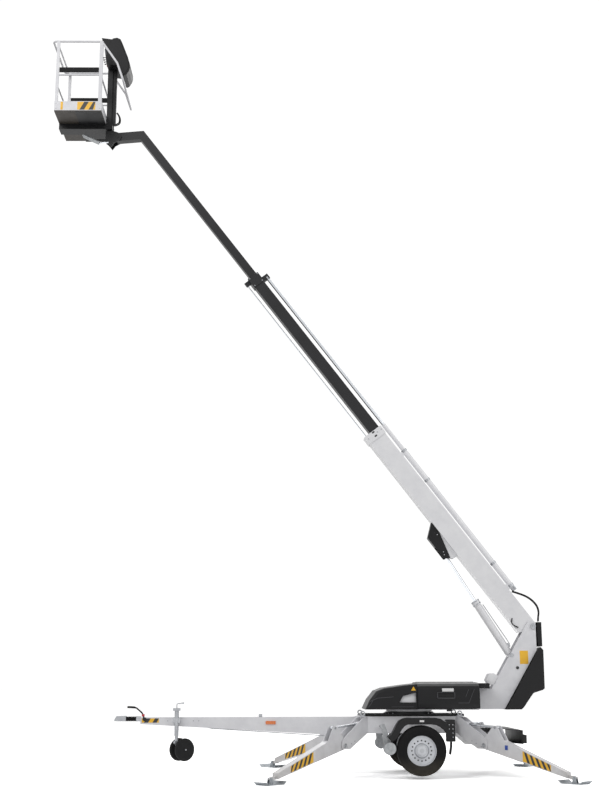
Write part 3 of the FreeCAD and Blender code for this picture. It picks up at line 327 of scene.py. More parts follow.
def block(low: tuple, high: tuple, edge: float = 3 * MM, segments: int = 2) -> bpy.types.Object:
    """A block with rounded edges between two corners.

    Args:
        low: its lowest corner.
        high: its highest corner.
        edge: the width of the rounded edges.
        segments: how many faces round each edge.

    Returns:
        The block.
    """
    deselect()
    middle = [(a + b) / 2 for a, b in zip(low, high)]
    bpy.ops.mesh.primitive_cube_add(size=1, location=middle)
    piece = bpy.context.object
    piece.scale = [b - a for a, b in zip(low, high)]
    bpy.ops.object.transform_apply(location=False, rotation=False, scale=True)
    return shaped(piece, min([edge] + [(b - a) * 0.45 for a, b in zip(low, high)]), segments)


def bar(start: tuple, end: tuple, radius: float, edge: float = 1 * MM,
        sides: int = 24) -> bpy.types.Object:
    """A round bar with softened ends between two points.

    Args:
        start: the middle of one end.
        end: the middle of the other.
        radius: its radius.
        edge: the width of the rounded ends.
        sides: how many faces go round it.

    Returns:
        The bar.
    """
    deselect()
    run = Vector(end) - Vector(start)
    bpy.ops.mesh.primitive_cylinder_add(vertices=sides, radius=radius, depth=run.length)
    piece = bpy.context.object
    turn = run.to_track_quat("Z", "Y").to_matrix().to_4x4()
    piece.matrix_world = Matrix.Translation((Vector(start) + Vector(end)) / 2) @ turn
    return shaped(piece, edge)


def turned(outline: list, middle: tuple, steps: int = 48, axis: str = "Y") -> bpy.types.Object:
    """A closed outline turned about an axis.

    Args:
        outline: (along the axis, radius) pairs, in order round the outline.
        middle: the point on the axis that the outline is measured from.
        steps: how many faces go round.
        axis: X, Y or Z.

    Returns:
        The turned piece.
    """
    deselect()
    places = {"X": lambda along, out: (along, out, 0), "Y": lambda along, out: (out, along, 0),
              "Z": lambda along, out: (out, 0, along)}
    mesh = bpy.data.meshes.new("turned")
    count = len(outline)
    mesh.from_pydata([places[axis](along, out) for along, out in outline],
                     [(index, (index + 1) % count) for index in range(count)], [])
    piece = bpy.data.objects.new("turned", mesh)
    bpy.context.scene.collection.objects.link(piece)
    piece.location = middle
    piece.select_set(True)
    bpy.context.view_layer.objects.active = piece
    screw = piece.modifiers.new("turn", "SCREW")
    screw.axis = axis
    screw.steps = steps
    screw.render_steps = steps
    screw.use_merge_vertices = True
    screw.merge_threshold = 0.00001
    bpy.ops.object.modifier_apply(modifier="turn")
    outward(piece)
    return shaped(piece)


def outward(piece: bpy.types.Object) -> None:
    """Turns a closed piece's faces outwards."""
    deselect()
    piece.select_set(True)
    bpy.context.view_layer.objects.active = piece
    bpy.ops.object.mode_set(mode="EDIT")
    bpy.ops.mesh.select_all(action="SELECT")
    bpy.ops.mesh.remove_doubles(threshold=0.00001)
    bpy.ops.mesh.normals_make_consistent(inside=False)
    bpy.ops.object.mode_set(mode="OBJECT")


def plate(outline: list, low: float, high: float, edge: float = 0.0) -> bpy.types.Object:
    """A flat outline in X and Z, given a thickness along Y.

    Args:
        outline: (X, Z) corners in order.
        low: the lowest Y.
        high: the highest Y.
        edge: the width of the rounded edges.

    Returns:
        The plate.
    """
    deselect()
    bpy.ops.mesh.primitive_circle_add(vertices=len(outline), fill_type="NGON")
    piece = bpy.context.object
    for vertex, (across, up) in zip(piece.data.vertices, outline):
        vertex.co = (across, low, up)
    bpy.ops.object.mode_set(mode="EDIT")
    bpy.ops.mesh.select_all(action="SELECT")
    bpy.ops.mesh.extrude_region_move(TRANSFORM_OT_translate={"value": (0, high - low, 0)})
    bpy.ops.object.mode_set(mode="OBJECT")
    outward(piece)
    return shaped(piece, edge)


def hose(points: list, radius: float, smooth: bool = True) -> bpy.types.Object:
    """A round tube that follows points.

    Args:
        points: the route.
        radius: the tube's radius.
        smooth: whether it flows past the corners or keeps straight runs.

    Returns:
        The tube.
    """
    deselect()
    curve = bpy.data.curves.new("hose", "CURVE")
    curve.dimensions = "3D"
    curve.bevel_depth = radius
    curve.bevel_resolution = 3
    curve.use_fill_caps = True
    spline = curve.splines.new("NURBS" if smooth else "POLY")
    spline.points.add(len(points) - 1)
    for spot, point in zip(spline.points, points):
        spot.co = (*point, 1)
    if smooth:
        spline.order_u = 3
        spline.use_endpoint_u = True
        spline.resolution_u = 8
    piece = bpy.data.objects.new("hose", curve)
    bpy.context.scene.collection.objects.link(piece)
    piece.select_set(True)
    bpy.context.view_layer.objects.active = piece
    bpy.ops.object.convert(target="MESH")
    piece = bpy.context.object
    outward(piece)
    return shaped(piece)


def joined(parts: list) -> bpy.types.Object:
    """Joins several new objects into one.

    Args:
        parts: the objects.

    Returns:
        The joined object.
    """
    deselect()
    for part in parts:
        part.select_set(True)
    bpy.context.view_layer.objects.active = parts[0]
    bpy.ops.object.join()
    return bpy.context.object


def settle(piece: bpy.types.Object, name: str, finish: "Finish", body: Body,
           place: Matrix = Matrix.Identity(4)) -> bpy.types.Object:
    """Names a piece, brings its place into its mesh, and sets its finish and body.

    Args:
        piece: the new object.
        name: its name.
        finish: its material.
        body: what it rides on.
        place: the frame that it was drawn in.

    Returns:
        The piece.
    """
    piece.name = name
    piece.data.name = name
    bpy.context.view_layer.update()
    piece.data.transform(place @ piece.matrix_world)
    if (place @ piece.matrix_world).determinant() < 0:
        piece.data.flip_normals()
    piece.matrix_world = Matrix.Identity(4)
    piece.data.materials.clear()
    piece.data.materials.append(finish.make())
    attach(piece, body.value)
    LOG.info("made %s on %s", name, body.value)
    return piece


def joint(name: str) -> dict:
    """The record's joint of that name."""
    return next(item for item in frame["record"]["behaviour"]["joints"] if item["name"] == name)


def machine_frame() -> Matrix:
    """The frame at the ground under the middle of the road axle."""
    low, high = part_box("rim_left")
    return Matrix.Translation(((low[0] + high[0]) / 2, 0, 0))


def boom_frame() -> Matrix:
    """The frame at the boom's pivot: X along the boom, Z across it and upwards."""
    along = Vector(joint("middle_slide")["axis"])
    up = Vector((along.z, 0, -along.x))
    turn = Matrix((along, Vector((0, 1, 0)), up)).transposed().to_4x4()
    return Matrix.Translation(joint("boom_lift")["pos_m"]) @ turn


def basket_frame() -> Matrix:
    """The frame at the basket's levelling pivot."""
    return Matrix.Translation(joint("basket_level")["pos_m"])


def leg_frame(corner: str) -> Matrix:
    """The frame at a leg's hinge: X outwards, Z up.

    Args:
        corner: such as front_left.

    Returns:
        The frame.
    """
    fold = joint("leg_%s_fold" % corner)
    side = -Vector(fold["axis"])
    out = side.cross(Vector((0, 0, 1)))
    turn = Matrix((out, side, Vector((0, 0, 1)))).transposed().to_4x4()
    return Matrix.Translation(fold["pos_m"]) @ turn


MACHINE = machine_frame()
BOOM = boom_frame()
BASKET = basket_frame()
CORNERS = ("front_left", "front_right", "rear_left", "rear_right")


def warning_band(name: str, body: Body, place: Matrix, spans: tuple, face: float, bars: int,
                 slant: float) -> None:
    """A yellow strip with slanted black bars, on a face that looks along Y.

    Args:
        name: the strip's name.
        body: what it rides on.
        place: the frame that it is drawn in.
        spans: lowest X, highest X, the lower edge's Z at each, and the upper edge's Z at each.
        face: the Y of the face, with the sign of its side.
        bars: how many black bars it has.
        slant: how far the bars lean along X over the strip's height.
    """
    left, right, *heights = spans
    side = 1 if face > 0 else -1

    def height(x: float, upper: bool) -> float:
        share = (x - left) / (right - left)
        first, last = heights[2:] if upper else heights[:2]
        return first + (last - first) * share

    corners = [(left, height(left, False)), (right, height(right, False)),
               (right, height(right, True)), (left, height(left, True))]
    deep = sorted((face, face + side * 0.8 * MM))
    settle(plate(corners, *deep), name + "_ground", YELLOW, body, place)
    pitch = (right - left) / bars
    proud = sorted((face, face + side * 1.4 * MM))
    marks = []
    for index in range(bars):
        start = left + pitch * (index + 0.25)
        stop = start + pitch * 0.5
        foot = [max(left, min(right, edge + max(-slant, 0))) for edge in (start, stop)]
        head = [max(left, min(right, edge + max(slant, 0))) for edge in (start, stop)]
        marks.append(plate([(foot[0], height(foot[0], False)), (foot[1], height(foot[1], False)),
                            (head[1], height(head[1], True)), (head[0], height(head[0], True))],
                           *proud))
    settle(joined(marks), name + "_bars", BLACK_FILM_AND_SHADE, body, place)


@dataclass
class Studio:
    """The floor, the lamps and the camera."""

    camera_place: tuple[float, float, float] = (-0.1420, -18.2003, 1.2918)
    pitch: float = math.radians(12.633)
    yaw: float = math.radians(0.666)
    roll: float = math.radians(-0.156)
    lens: float = 56.28
    lamps: list = field(default_factory=lambda: [((-9, -11, 15), 7.0, 900), ((12, -8, 10), 8.0, 500),
                                                 ((2, 13, 12), 8.0, 450)])

    def build(self) -> None:
        """Makes the floor, the world, the lamps and the camera."""
        self.floor()
        self.world()
        for place, size, power in self.lamps:
            self.lamp(place, size, power)
        self.camera()

    def floor(self) -> None:
        """A wide pale floor that shows white and keeps the shadow."""
        bpy.ops.object.select_all(action="DESELECT")
        bpy.ops.mesh.primitive_plane_add(size=400, location=(0, 0, 0))
        floor = bpy.context.object
        floor.name = "studio_floor"
        material = bpy.data.materials.new("floor_paper_matt")
        material.use_nodes = True
        tree = material.node_tree
        shader = tree.nodes["Principled BSDF"]
        shader.inputs["Roughness"].default_value = 0.95
        path = add_node(tree, "ShaderNodeLightPath")
        seen = add_node(tree, "ShaderNodeMath", {"operation": "MAXIMUM"},
                        {0: path.outputs["Is Camera Ray"], 1: path.outputs["Is Glossy Ray"]})
        seen = add_node(tree, "ShaderNodeMath", {"operation": "MAXIMUM"},
                        {0: seen.outputs["Value"], 1: path.outputs["Is Transmission Ray"]})
        tone = add_node(tree, "ShaderNodeMix", {"data_type": "RGBA"}, {"Factor": seen.outputs["Value"]})
        tone.inputs[6].default_value = linear("C8C8C8")
        tone.inputs[7].default_value = (1.9, 1.9, 1.9, 1.0)
        tree.links.new(tone.outputs[2], shader.inputs["Base Color"])
        floor.data.materials.append(material)

    def world(self) -> None:
        """An even pale surround."""
        world = bpy.data.worlds.new("studio")
        world.use_nodes = True
        tree = world.node_tree
        back = tree.nodes["Background"]
        back.inputs["Color"].default_value = linear("FFFFFF")
        path = add_node(tree, "ShaderNodeLightPath")
        most = add_node(tree, "ShaderNodeMath", {"operation": "MAXIMUM"},
                        {0: path.outputs["Is Camera Ray"], 1: path.outputs["Is Glossy Ray"]})
        level = add_node(tree, "ShaderNodeMapRange", {"To Min": 0.55, "To Max": 1.05},
                         {"Value": most.outputs["Value"]})
        tree.links.new(level.outputs["Result"], back.inputs["Strength"])
        bpy.context.scene.world = world

    def lamp(self, place: tuple, size: float, power: float) -> None:
        """A square soft lamp aimed at the middle of the machine.

        Args:
            place: where it stands.
            size: the length of its side.
            power: its strength in watts.
        """
        data = bpy.data.lights.new("studio_lamp", "AREA")
        data.shape = "SQUARE"
        data.size = size
        data.energy = power
        lamp = bpy.data.objects.new("studio_lamp", data)
        lamp.location = place
        lamp.rotation_euler = (Vector((0, 0, 3)) - Vector(place)).to_track_quat("-Z", "Y").to_euler()
        bpy.context.scene.collection.objects.link(lamp)

    def camera(self) -> None:
        """A camera low on the left side, looking slightly up."""
        ahead = Vector((math.sin(self.yaw) * math.cos(self.pitch),
                        math.cos(self.yaw) * math.cos(self.pitch), math.sin(self.pitch)))
        right = Vector((math.cos(self.yaw), -math.sin(self.yaw), 0))
        up = right.cross(ahead)
        turned_right = right * math.cos(self.roll) + up * math.sin(self.roll)
        turned_up = up * math.cos(self.roll) - right * math.sin(self.roll)
        matrix = Matrix((turned_right, turned_up, -ahead)).transposed().to_4x4()
        matrix.translation = Vector(self.camera_place)
        data = bpy.data.cameras.new("camera")
        data.lens = self.lens
        data.sensor_width = 36
        data.clip_end = 300
        camera = bpy.data.objects.new("camera", data)
        camera.matrix_world = matrix
        bpy.context.scene.collection.objects.link(camera)
        bpy.context.scene.camera = camera
        bpy.context.scene.view_settings.view_transform = "Standard"


@dataclass
class RoadWheel:
    """The tyre, hub cap and the painted shade of the cooling holes of one road wheel."""

    side_name: str
    body: Body
    side: int
    cap_radius: float = 84 * MM
    hole_circle: float = 132 * MM
    hole_radius: float = 11 * MM
    holes: int = 16
    groove: float = 7 * MM

    def build(self) -> None:
        """Makes the wheel's pieces."""
        low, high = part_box("rim_" + self.side_name)
        self.middle = (Vector(low) + Vector(high)) / 2
        tyre_low, tyre_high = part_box("tyre_" + self.side_name)
        self.face = tyre_high[1] if self.side > 0 else tyre_low[1]
        self.radius = (tyre_high[2] - tyre_low[2]) / 2
        self.width = tyre_high[1] - tyre_low[1]
        self.tyre()
        self.cap()
        self.painted_hole_shade()

    def at(self, inwards: float, radius: float) -> tuple[float, float]:
        """A point of the wheel's section, counted from the tyre's outer face."""
        return self.face - self.side * inwards, radius

    def tyre(self) -> None:
        """A tyre with rounded walls, wall ribs and grooves round the tread."""
        rim = 0.1952
        top = self.radius - 0.3 * MM
        wide = self.width
        outline = [self.at(0.026, rim), self.at(0.006, rim + 0.024), self.at(0.0005, rim + 0.058),
                   self.at(0.003, rim + 0.060), self.at(0.001, rim + 0.066),
                   self.at(0.004, top - 0.040), self.at(0.012, top - 0.014),
                   self.at(0.026, top - 0.004)]
        tread = [0.046, 0.082, 0.113, 0.149]
        for place in tread:
            outline += [self.at(place - 0.005, top), self.at(place - 0.0035, top - self.groove),
                        self.at(place + 0.0035, top - self.groove), self.at(place + 0.005, top)]
        outline += [self.at(wide - 0.026, top - 0.004), self.at(wide - 0.012, top - 0.014),
                    self.at(wide - 0.004, top - 0.040), self.at(wide - 0.0005, rim + 0.062),
                    self.at(wide - 0.006, rim + 0.024), self.at(wide - 0.026, rim)]
        piece = turned(outline, (self.middle.x, 0, self.middle.z), 96)
        name = "tyre_%s_tread" % self.side_name
        settle(piece, name, TYRE, self.body)
        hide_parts("tyre_" + self.side_name)

    def cap(self) -> None:
        """A domed cap over the hub, with a ring of nuts round it."""
        s = self.side
        face = self.face - s * 0.020
        outline = [(face - s * 0.034, 0.0), (face - s * 0.034, self.cap_radius),
                   (face - s * 0.014, self.cap_radius - 0.006), (face - s * 0.010, 0.060),
                   (face - s * 0.002, 0.050), (face - s * 0.000, 0.030), (face - s * 0.003, 0.0)]
        cap = turned(outline, (self.middle.x, 0, self.middle.z), 48)
        nuts = []
        for index in range(5):
            turn = math.tau * index / 5 + 0.3
            x = self.middle.x + 0.068 * math.cos(turn)
            z = self.middle.z + 0.068 * math.sin(turn)
            nuts.append(bar((x, face - s * 0.020, z), (x, face + s * 0.000, z), 9 * MM, 1 * MM, 6))
        settle(joined([cap] + nuts), "hub_cap_" + self.side_name, ZINC, self.body)

    def painted_hole_shade(self) -> None:
        """Flat black discs on the wheel's disc: painted shade where the cooling holes would show dark."""
        shade_discs = []
        for index in range(self.holes):
            turn = math.tau * index / self.holes
            x = self.middle.x + self.hole_circle * math.cos(turn)
            z = self.middle.z + self.hole_circle * math.sin(turn)
            y = self.face - self.side * 0.0525
            # painted shade: a thin black disc stands in for the dark inside of each hole
            shade_discs.append(bar((x, y - self.side * 0.006, z), (x, y, z), self.hole_radius, 0.5 * MM, 16))
        settle(joined(shade_discs), "painted_hole_shade_" + self.side_name, BLACK_FILM_AND_SHADE, self.body)


@dataclass
class Outriggers:
    """Warning bands, pivot heads, horn pins and labels on the four legs."""

    half_wide: float = 50 * MM
    band_start: float = 0.62
    band_long: float = 0.44

    def build(self) -> None:
        """Dresses each leg."""
        for corner in CORNERS:
            self.leg(corner)

    def leg(self, corner: str) -> None:
        """Dresses one leg.

        Args:
            corner: such as front_left.
        """
        body = Leg[corner.upper()]
        place = leg_frame(corner)
        end = self.band_start + self.band_long
        for tag, side in (("a", 1), ("b", -1)):
            warning_band("leg_%s_band_%s" % (corner, tag), body, place,
                         (self.band_start, end, -0.188, -0.296, -0.057, -0.217),
                         side * self.half_wide, 5, -0.05)
        heads = [bar((0, side * 0.0745, 0), (0, side * 0.081, 0), 28 * MM, 2 * MM, 32)
                 for side in (1, -1)]
        heads += [bar((0, side * 0.080, 0), (0, side * 0.088, 0), 11 * MM, 1 * MM, 6)
                  for side in (1, -1)]
        settle(joined(heads), "leg_%s_pivot_heads" % corner, ZINC, Body.CHASSIS, place)
        eyes = [bar((0.18, side * 0.0505, 0.235), (0.18, side * 0.058, 0.235), 17 * MM, 2 * MM, 24)
                for side in (1, -1)]
        settle(joined(eyes), "leg_%s_horn_pins" % corner, ZINC, body, place)
        label = block((0.335, -0.0512, -0.052), (0.385, -0.0500, 0.008), 0.4 * MM)
        settle(label, "leg_%s_label" % corner, LABEL_BLUE, body, place)


class Leg(Enum):
    """The bodies of the four legs."""

    FRONT_LEFT = "outrigger_front_left"
    FRONT_RIGHT = "outrigger_front_right"
    REAR_LEFT = "outrigger_rear_left"
    REAR_RIGHT = "outrigger_rear_right"


@dataclass
class TowBar:
    """Warning bands, screws, brake rods, bellows and markers along the drawbar."""

    half_wide: float = 60 * MM

    def build(self) -> None:
        """Dresses the drawbar."""
        for tag, side in (("left", -1), ("right", 1)):
            warning_band("tow_bar_band_" + tag, Body.CHASSIS, MACHINE,
                         (-3.84, -3.60, 0.717, 0.717, 0.775, 0.775), side * self.half_wide, 2, 0.035)
        self.screws()
        self.rods()
        self.bellows()
        self.markers()
        self.brake_lever()

    def screws(self) -> None:
        """Two pairs of screw heads on each side."""
        heads = []
        for x in (-3.475, -3.40, -3.115, -3.04):
            for side in (-1, 1):
                face = side * self.half_wide
                heads.append(bar((x, face, 0.741), (x, face + side * 5 * MM, 0.741), 7 * MM, 1 * MM, 6))
        settle(joined(heads), "tow_bar_screws", ZINC, Body.CHASSIS, MACHINE)

    def rods(self) -> None:
        """The brake rods that hang under the drawbar."""
        runs = [hose([(-2.95, -0.03, 0.655), (-2.86, -0.03, 0.635), (-0.80, -0.03, 0.500)], 6 * MM, False),
                hose([(-2.70, 0.03, 0.640), (-0.80, 0.03, 0.520)], 6 * MM, False)]
        settle(joined(runs), "brake_rods", ZINC, Body.CHASSIS, MACHINE)

    def bellows(self) -> None:
        """Rubber folds over the coupling's shaft."""
        low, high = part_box("coupling_bellows")
        middle = (0, (low[1] + high[1]) / 2, (low[2] + high[2]) / 2)
        steps = 9
        pitch = (high[0] - low[0]) / steps
        outline = []
        for index in range(steps):
            outline += [(low[0] + pitch * index, 0.026), (low[0] + pitch * (index + 0.5), 0.0375)]
        outline += [(high[0], 0.026), (high[0], 0.0245), (low[0], 0.0245)]
        piece = turned(outline, middle, 40, "X")
        settle(piece, "coupling_bellows_folds", SOLID_RUBBER, Body.CHASSIS)
        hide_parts("coupling_bellows")

    def markers(self) -> None:
        """An amber side marker on each side, and a bracket on top."""
        for tag, side in (("left", -1), ("right", 1)):
            face = side * self.half_wide
            deep = sorted((face, face + side * 14 * MM))
            settle(block((-2.10, deep[0], 0.690), (-1.96, deep[1], 0.735), 4 * MM),
                   "side_marker_" + tag, AMBER_LENS, Body.CHASSIS, MACHINE)
        settle(block((-2.20, -0.03, 0.789), (-2.15, 0.03, 0.83), 3 * MM), "cable_bracket", ZINC,
               Body.CHASSIS, MACHINE)

    def brake_lever(self) -> None:
        """The grip and the red button of the handbrake."""
        grip = hose([(-3.935, -0.072, 0.925), (-3.99, -0.072, 0.930), (-4.04, -0.072, 0.931)], 15 * MM)
        settle(grip, "handbrake_grip", SOLID_RUBBER, Body.CHASSIS, MACHINE)
        catch = block((-3.84, -0.083, 0.80), (-3.80, -0.061, 0.835), 6 * MM)
        settle(catch, "handbrake_catch", RED_PLASTIC, Body.CHASSIS, MACHINE)


@dataclass
class ChassisDetails:
    """Lamps, bolts, reflectors, hoses and fittings on the chassis."""

    def build(self) -> None:
        """Makes the pieces."""
        self.ring_bolts()
        self.lamps()
        self.fender_trim()
        self.motors()
        self.valves()
        self.bracket_bolts()

    def ring_bolts(self) -> None:
        """Bolt heads round the foot of the slewing ring."""
        heads = []
        for index in range(24):
            turn = math.tau * index / 24
            x = -0.078 + 0.352 * math.cos(turn)
            y = 0.352 * math.sin(turn)
            if abs(y) < 0.297:
                heads.append(bar((x, y, 0.832), (x, y, 0.846), 9 * MM, 1 * MM, 6))
        settle(joined(heads), "slewing_ring_bolts", ZINC, Body.CHASSIS, MACHINE)

    def lamps(self) -> None:
        """Three-chamber tail lamps in dark frames, and a blank plate between them."""
        low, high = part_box("light_bar")
        rear = high[0]
        for tag, side in (("left", -1), ("right", 1)):
            base = side * 0.560
            lens = [("red", -0.118, -0.040, RED_LENS), ("amber", -0.034, 0.040, AMBER_LENS),
                    ("red_outer", 0.046, 0.118, RED_LENS)]
            for part, start, stop, finish in lens:
                settle(block((rear - 0.048, base + start, 0.456), (rear - 0.0002, base + stop, 0.554), 4 * MM),
                       "tail_lamp_%s_%s" % (tag, part), finish, Body.CHASSIS)
        settle(block((rear - 0.052, -0.26, 0.47), (rear - 0.046, 0.26, 0.58), 3 * MM),
               "number_board", BLANK_WHITE, Body.CHASSIS)

    def fender_trim(self) -> None:
        """White front reflectors on the fenders' outer skirts."""
        for tag, side in (("left", -1), ("right", 1)):
            face = side * 0.936
            deep = sorted((face, face + side * 2 * MM))
            settle(block((-0.025, deep[0], 0.742), (0.035, deep[1], 0.765), 1 * MM),
                   "fender_reflector_" + tag, BLANK_WHITE, Body.CHASSIS, MACHINE)

    def motors(self) -> None:
        """End plates, cooling ribs and bolts of the drive motors."""
        for tag, side in (("left", -1), ("right", 1)):
            rings = []
            for step in range(6):
                y = side * (0.765 + step * 0.024)
                rings.append(turned([(y, 0.070), (y, 0.083), (y + side * 0.006, 0.083),
                                     (y + side * 0.006, 0.070)], (-0.424, 0, 0.396), 40))
            for index in range(6):
                turn = math.tau * index / 6
                x = -0.424 + 0.058 * math.cos(turn)
                z = 0.396 + 0.058 * math.sin(turn)
                rings.append(bar((x, side * 0.918, z), (x, side * 0.926, z), 6 * MM, 1 * MM, 6))
            rings.append(bar((-0.424, side * 0.918, 0.396), (-0.424, side * 0.930, 0.396), 20 * MM))
            settle(joined(rings), "motor_ribs_" + tag, CAST_ALLOY, Body.CHASSIS, MACHINE)

    def valves(self) -> None:
        """Levers and hose ends on the valve box."""
        low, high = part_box("valve_box")
        levers = []
        for index in range(4):
            z = low[2] + 0.06 + index * 0.055
            levers.append(bar((low[0] + 0.035, low[1], z), (low[0] + 0.035, low[1] - 0.022, z), 7 * MM))
            levers.append(bar((low[0] + 0.085, low[1], z), (low[0] + 0.085, low[1] - 0.014, z), 9 * MM,
                              1 * MM, 6))
        settle(joined(levers), "valve_levers", ZINC, Body.CHASSIS)

    def bracket_bolts(self) -> None:
        """Bolts at the inner ends of the leg brackets."""
        for corner in CORNERS:
            heads = []
            for x, z in ((-0.13, 0.02), (-0.20, 0.05), (-0.04, -0.02)):
                for side in (-1, 1):
                    heads.append(bar((x, side * 0.068, z), (x, side * 0.074, z), 7 * MM, 1 * MM, 6))
            settle(joined(heads), "bracket_bolts_" + corner, ZINC, Body.CHASSIS, leg_frame(corner))


@dataclass
class TurretDetails:
    """Mouldings, labels, pivot caps and fittings on the turret and its covers."""

    cover_half: float = 0.500

    def build(self) -> None:
        """Makes the pieces."""
        self.cover_lines()
        self.labels()
        self.pivots()
        self.bonnet_bar()
        self.nose_lines()
        self.fittings()

    def cover_lines(self) -> None:
        """Raised lines and the handle recess on each hinged cover, in a lighter grey that paints the light
        caught on them.
        """
        for tag, side, body in (("left", -1, Lid.LEFT), ("right", 1, Lid.RIGHT)):
            face = side * (self.cover_half - 3 * MM)
            deep = sorted((face, face + side * 5 * MM))
            lines = [plate([(0.705, 0.985), (0.713, 0.985), (0.79, 1.165), (0.782, 1.165)], *deep),
                     plate([(0.56, 0.977), (0.708, 0.977), (0.708, 0.985), (0.56, 0.985)], *deep),
                     plate([(0.66, 1.06), (0.668, 1.06), (0.712, 1.165), (0.704, 1.165)], *deep)]
            settle(joined(lines), "cover_lines_" + tag, COVER_LINE_HIGHLIGHT, body, MACHINE)
            ring = [block((0.27, deep[0], 1.040), (0.52, deep[1], 1.052), 3 * MM),
                    block((0.27, deep[0], 1.118), (0.52, deep[1], 1.126), 3 * MM),
                    block((0.27, deep[0], 1.040), (0.282, deep[1], 1.126), 3 * MM),
                    block((0.508, deep[0], 1.040), (0.52, deep[1], 1.126), 3 * MM)]
            settle(joined(ring), "cover_handle_frame_" + tag, COVER_LINE_HIGHLIGHT, body, MACHINE)
            grip = block((0.30, deep[0], 1.075), (0.49, deep[1] + (side > 0) * 8 * MM, 1.095), 4 * MM)
            settle(grip, "cover_grip_" + tag, COVER, body, MACHINE)
            latch = block((0.40, side * 0.47 - 0.02, 0.868), (0.47, side * 0.47 + 0.02, 0.903), 5 * MM)
            settle(latch, "cover_latch_" + tag, COVER, body, MACHINE)

    def labels(self) -> None:
        """Blank films where the makers' signs would be."""
        for tag, side, body in (("left", -1, Lid.LEFT), ("right", 1, Lid.RIGHT)):
            face = side * (self.cover_half - 1.5 * MM)
            deep = sorted((face, face + side * 3 * MM))
            settle(block((0.34, deep[0], 1.135), (0.50, deep[1], 1.178), 1 * MM),
                   "cover_film_" + tag, BLANK_WHITE, body, MACHINE)
            mast = side * 0.125
            deep = sorted((mast, mast + side * 1 * MM))
            settle(block((1.501, deep[0], 1.509), (1.621, deep[1], 1.695), 0.4 * MM),
                   "mast_film_" + tag, YELLOW, Body.TURRET, MACHINE)
            nose = side * 0.470
            deep = sorted((nose, nose + side * 1 * MM))
            settle(plate([(-0.085, 1.150), (-0.020, 1.150), (-0.0525, 1.205)], *deep),
                   "nose_film_" + tag, YELLOW, Body.TURRET, MACHINE)

    def pivots(self) -> None:
        """Washers and locked nuts on the boom's and the cylinder's pins."""
        for name, x, z, radius in (("boom_pin", 1.708, 2.036, 0.040), ("lift_pin", 1.385, 1.635, 0.030),
                                   ("mast_plug", 1.463, 1.458, 0.022)):
            parts = []
            for side in (-1, 1):
                face = side * (0.135 if name == "boom_pin" else 0.1255)
                parts.append(bar((x, face, z), (x, face + side * 6 * MM, z), radius, 2 * MM, 32))
                parts.append(bar((x, face + side * 5 * MM, z), (x, face + side * 12 * MM, z),
                                 radius * 0.45, 1 * MM, 6))
            finish = BLACK_FILM_AND_SHADE if name == "mast_plug" else ZINC
            settle(joined(parts), name + "_caps", finish, Body.TURRET, MACHINE)

    def bonnet_bar(self) -> None:
        """The black filler between the covers and the mast."""
        filler = block((0.869, -0.33, 1.172), (1.030, 0.33, 1.246), 12 * MM, 3)
        settle(filler, "bonnet_bar", COVER, Body.TURRET, MACHINE)

    def nose_lines(self) -> None:
        """Pressed lines on the nose, in a lighter grey that paints the light caught on them, and the pale
        structure inside its openings.
        """
        for tag, side in (("left", -1), ("right", 1)):
            face = side * 0.469
            deep = sorted((face, face + side * 4 * MM))
            lines = [plate([(-0.66, 0.995), (-0.55, 1.045), (-0.33, 1.062), (-0.33, 1.069),
                            (-0.552, 1.053), (-0.664, 1.002)], *deep),
                     plate([(-0.68, 0.925), (-0.62, 1.01), (-0.613, 1.008), (-0.672, 0.922)], *deep),
                     plate([(-0.36, 0.928), (-0.05, 0.928), (-0.05, 0.934), (-0.36, 0.934)], *deep)]
            settle(joined(lines), "nose_lines_" + tag, COVER_LINE_HIGHLIGHT, Body.TURRET, MACHINE)
        inner = block((-0.27, -0.44, 0.985), (-0.015, 0.44, 1.135), 6 * MM)
        settle(inner, "nose_inner_box", BOOM_WHITE, Body.TURRET, MACHINE)

    def fittings(self) -> None:
        """The lifting lug on the mast's front edge and the joint line across its foot."""
        for tag, side in (("left", -1), ("right", 1)):
            face = side * 0.125
            deep = sorted((face, face - side * 10 * MM))
            lug = plate([(1.02, 1.29), (1.06, 1.375), (1.12, 1.385), (1.19, 1.34), (1.13, 1.23), (1.06, 1.22)],
                        *deep, edge=2 * MM)
            settle(lug, "mast_lug_" + tag, BOOM_WHITE, Body.TURRET, MACHINE)
            deep = sorted((face, face + side * 1.2 * MM))
            seam = block((0.90, deep[0], 1.158), (1.42, deep[1], 1.163), 0.4 * MM)
            settle(seam, "mast_seam_" + tag, WHITE, Body.TURRET, MACHINE)


class Lid(Enum):
    """The bodies of the hinged covers."""

    LEFT = "lid_left"
    RIGHT = "lid_right"


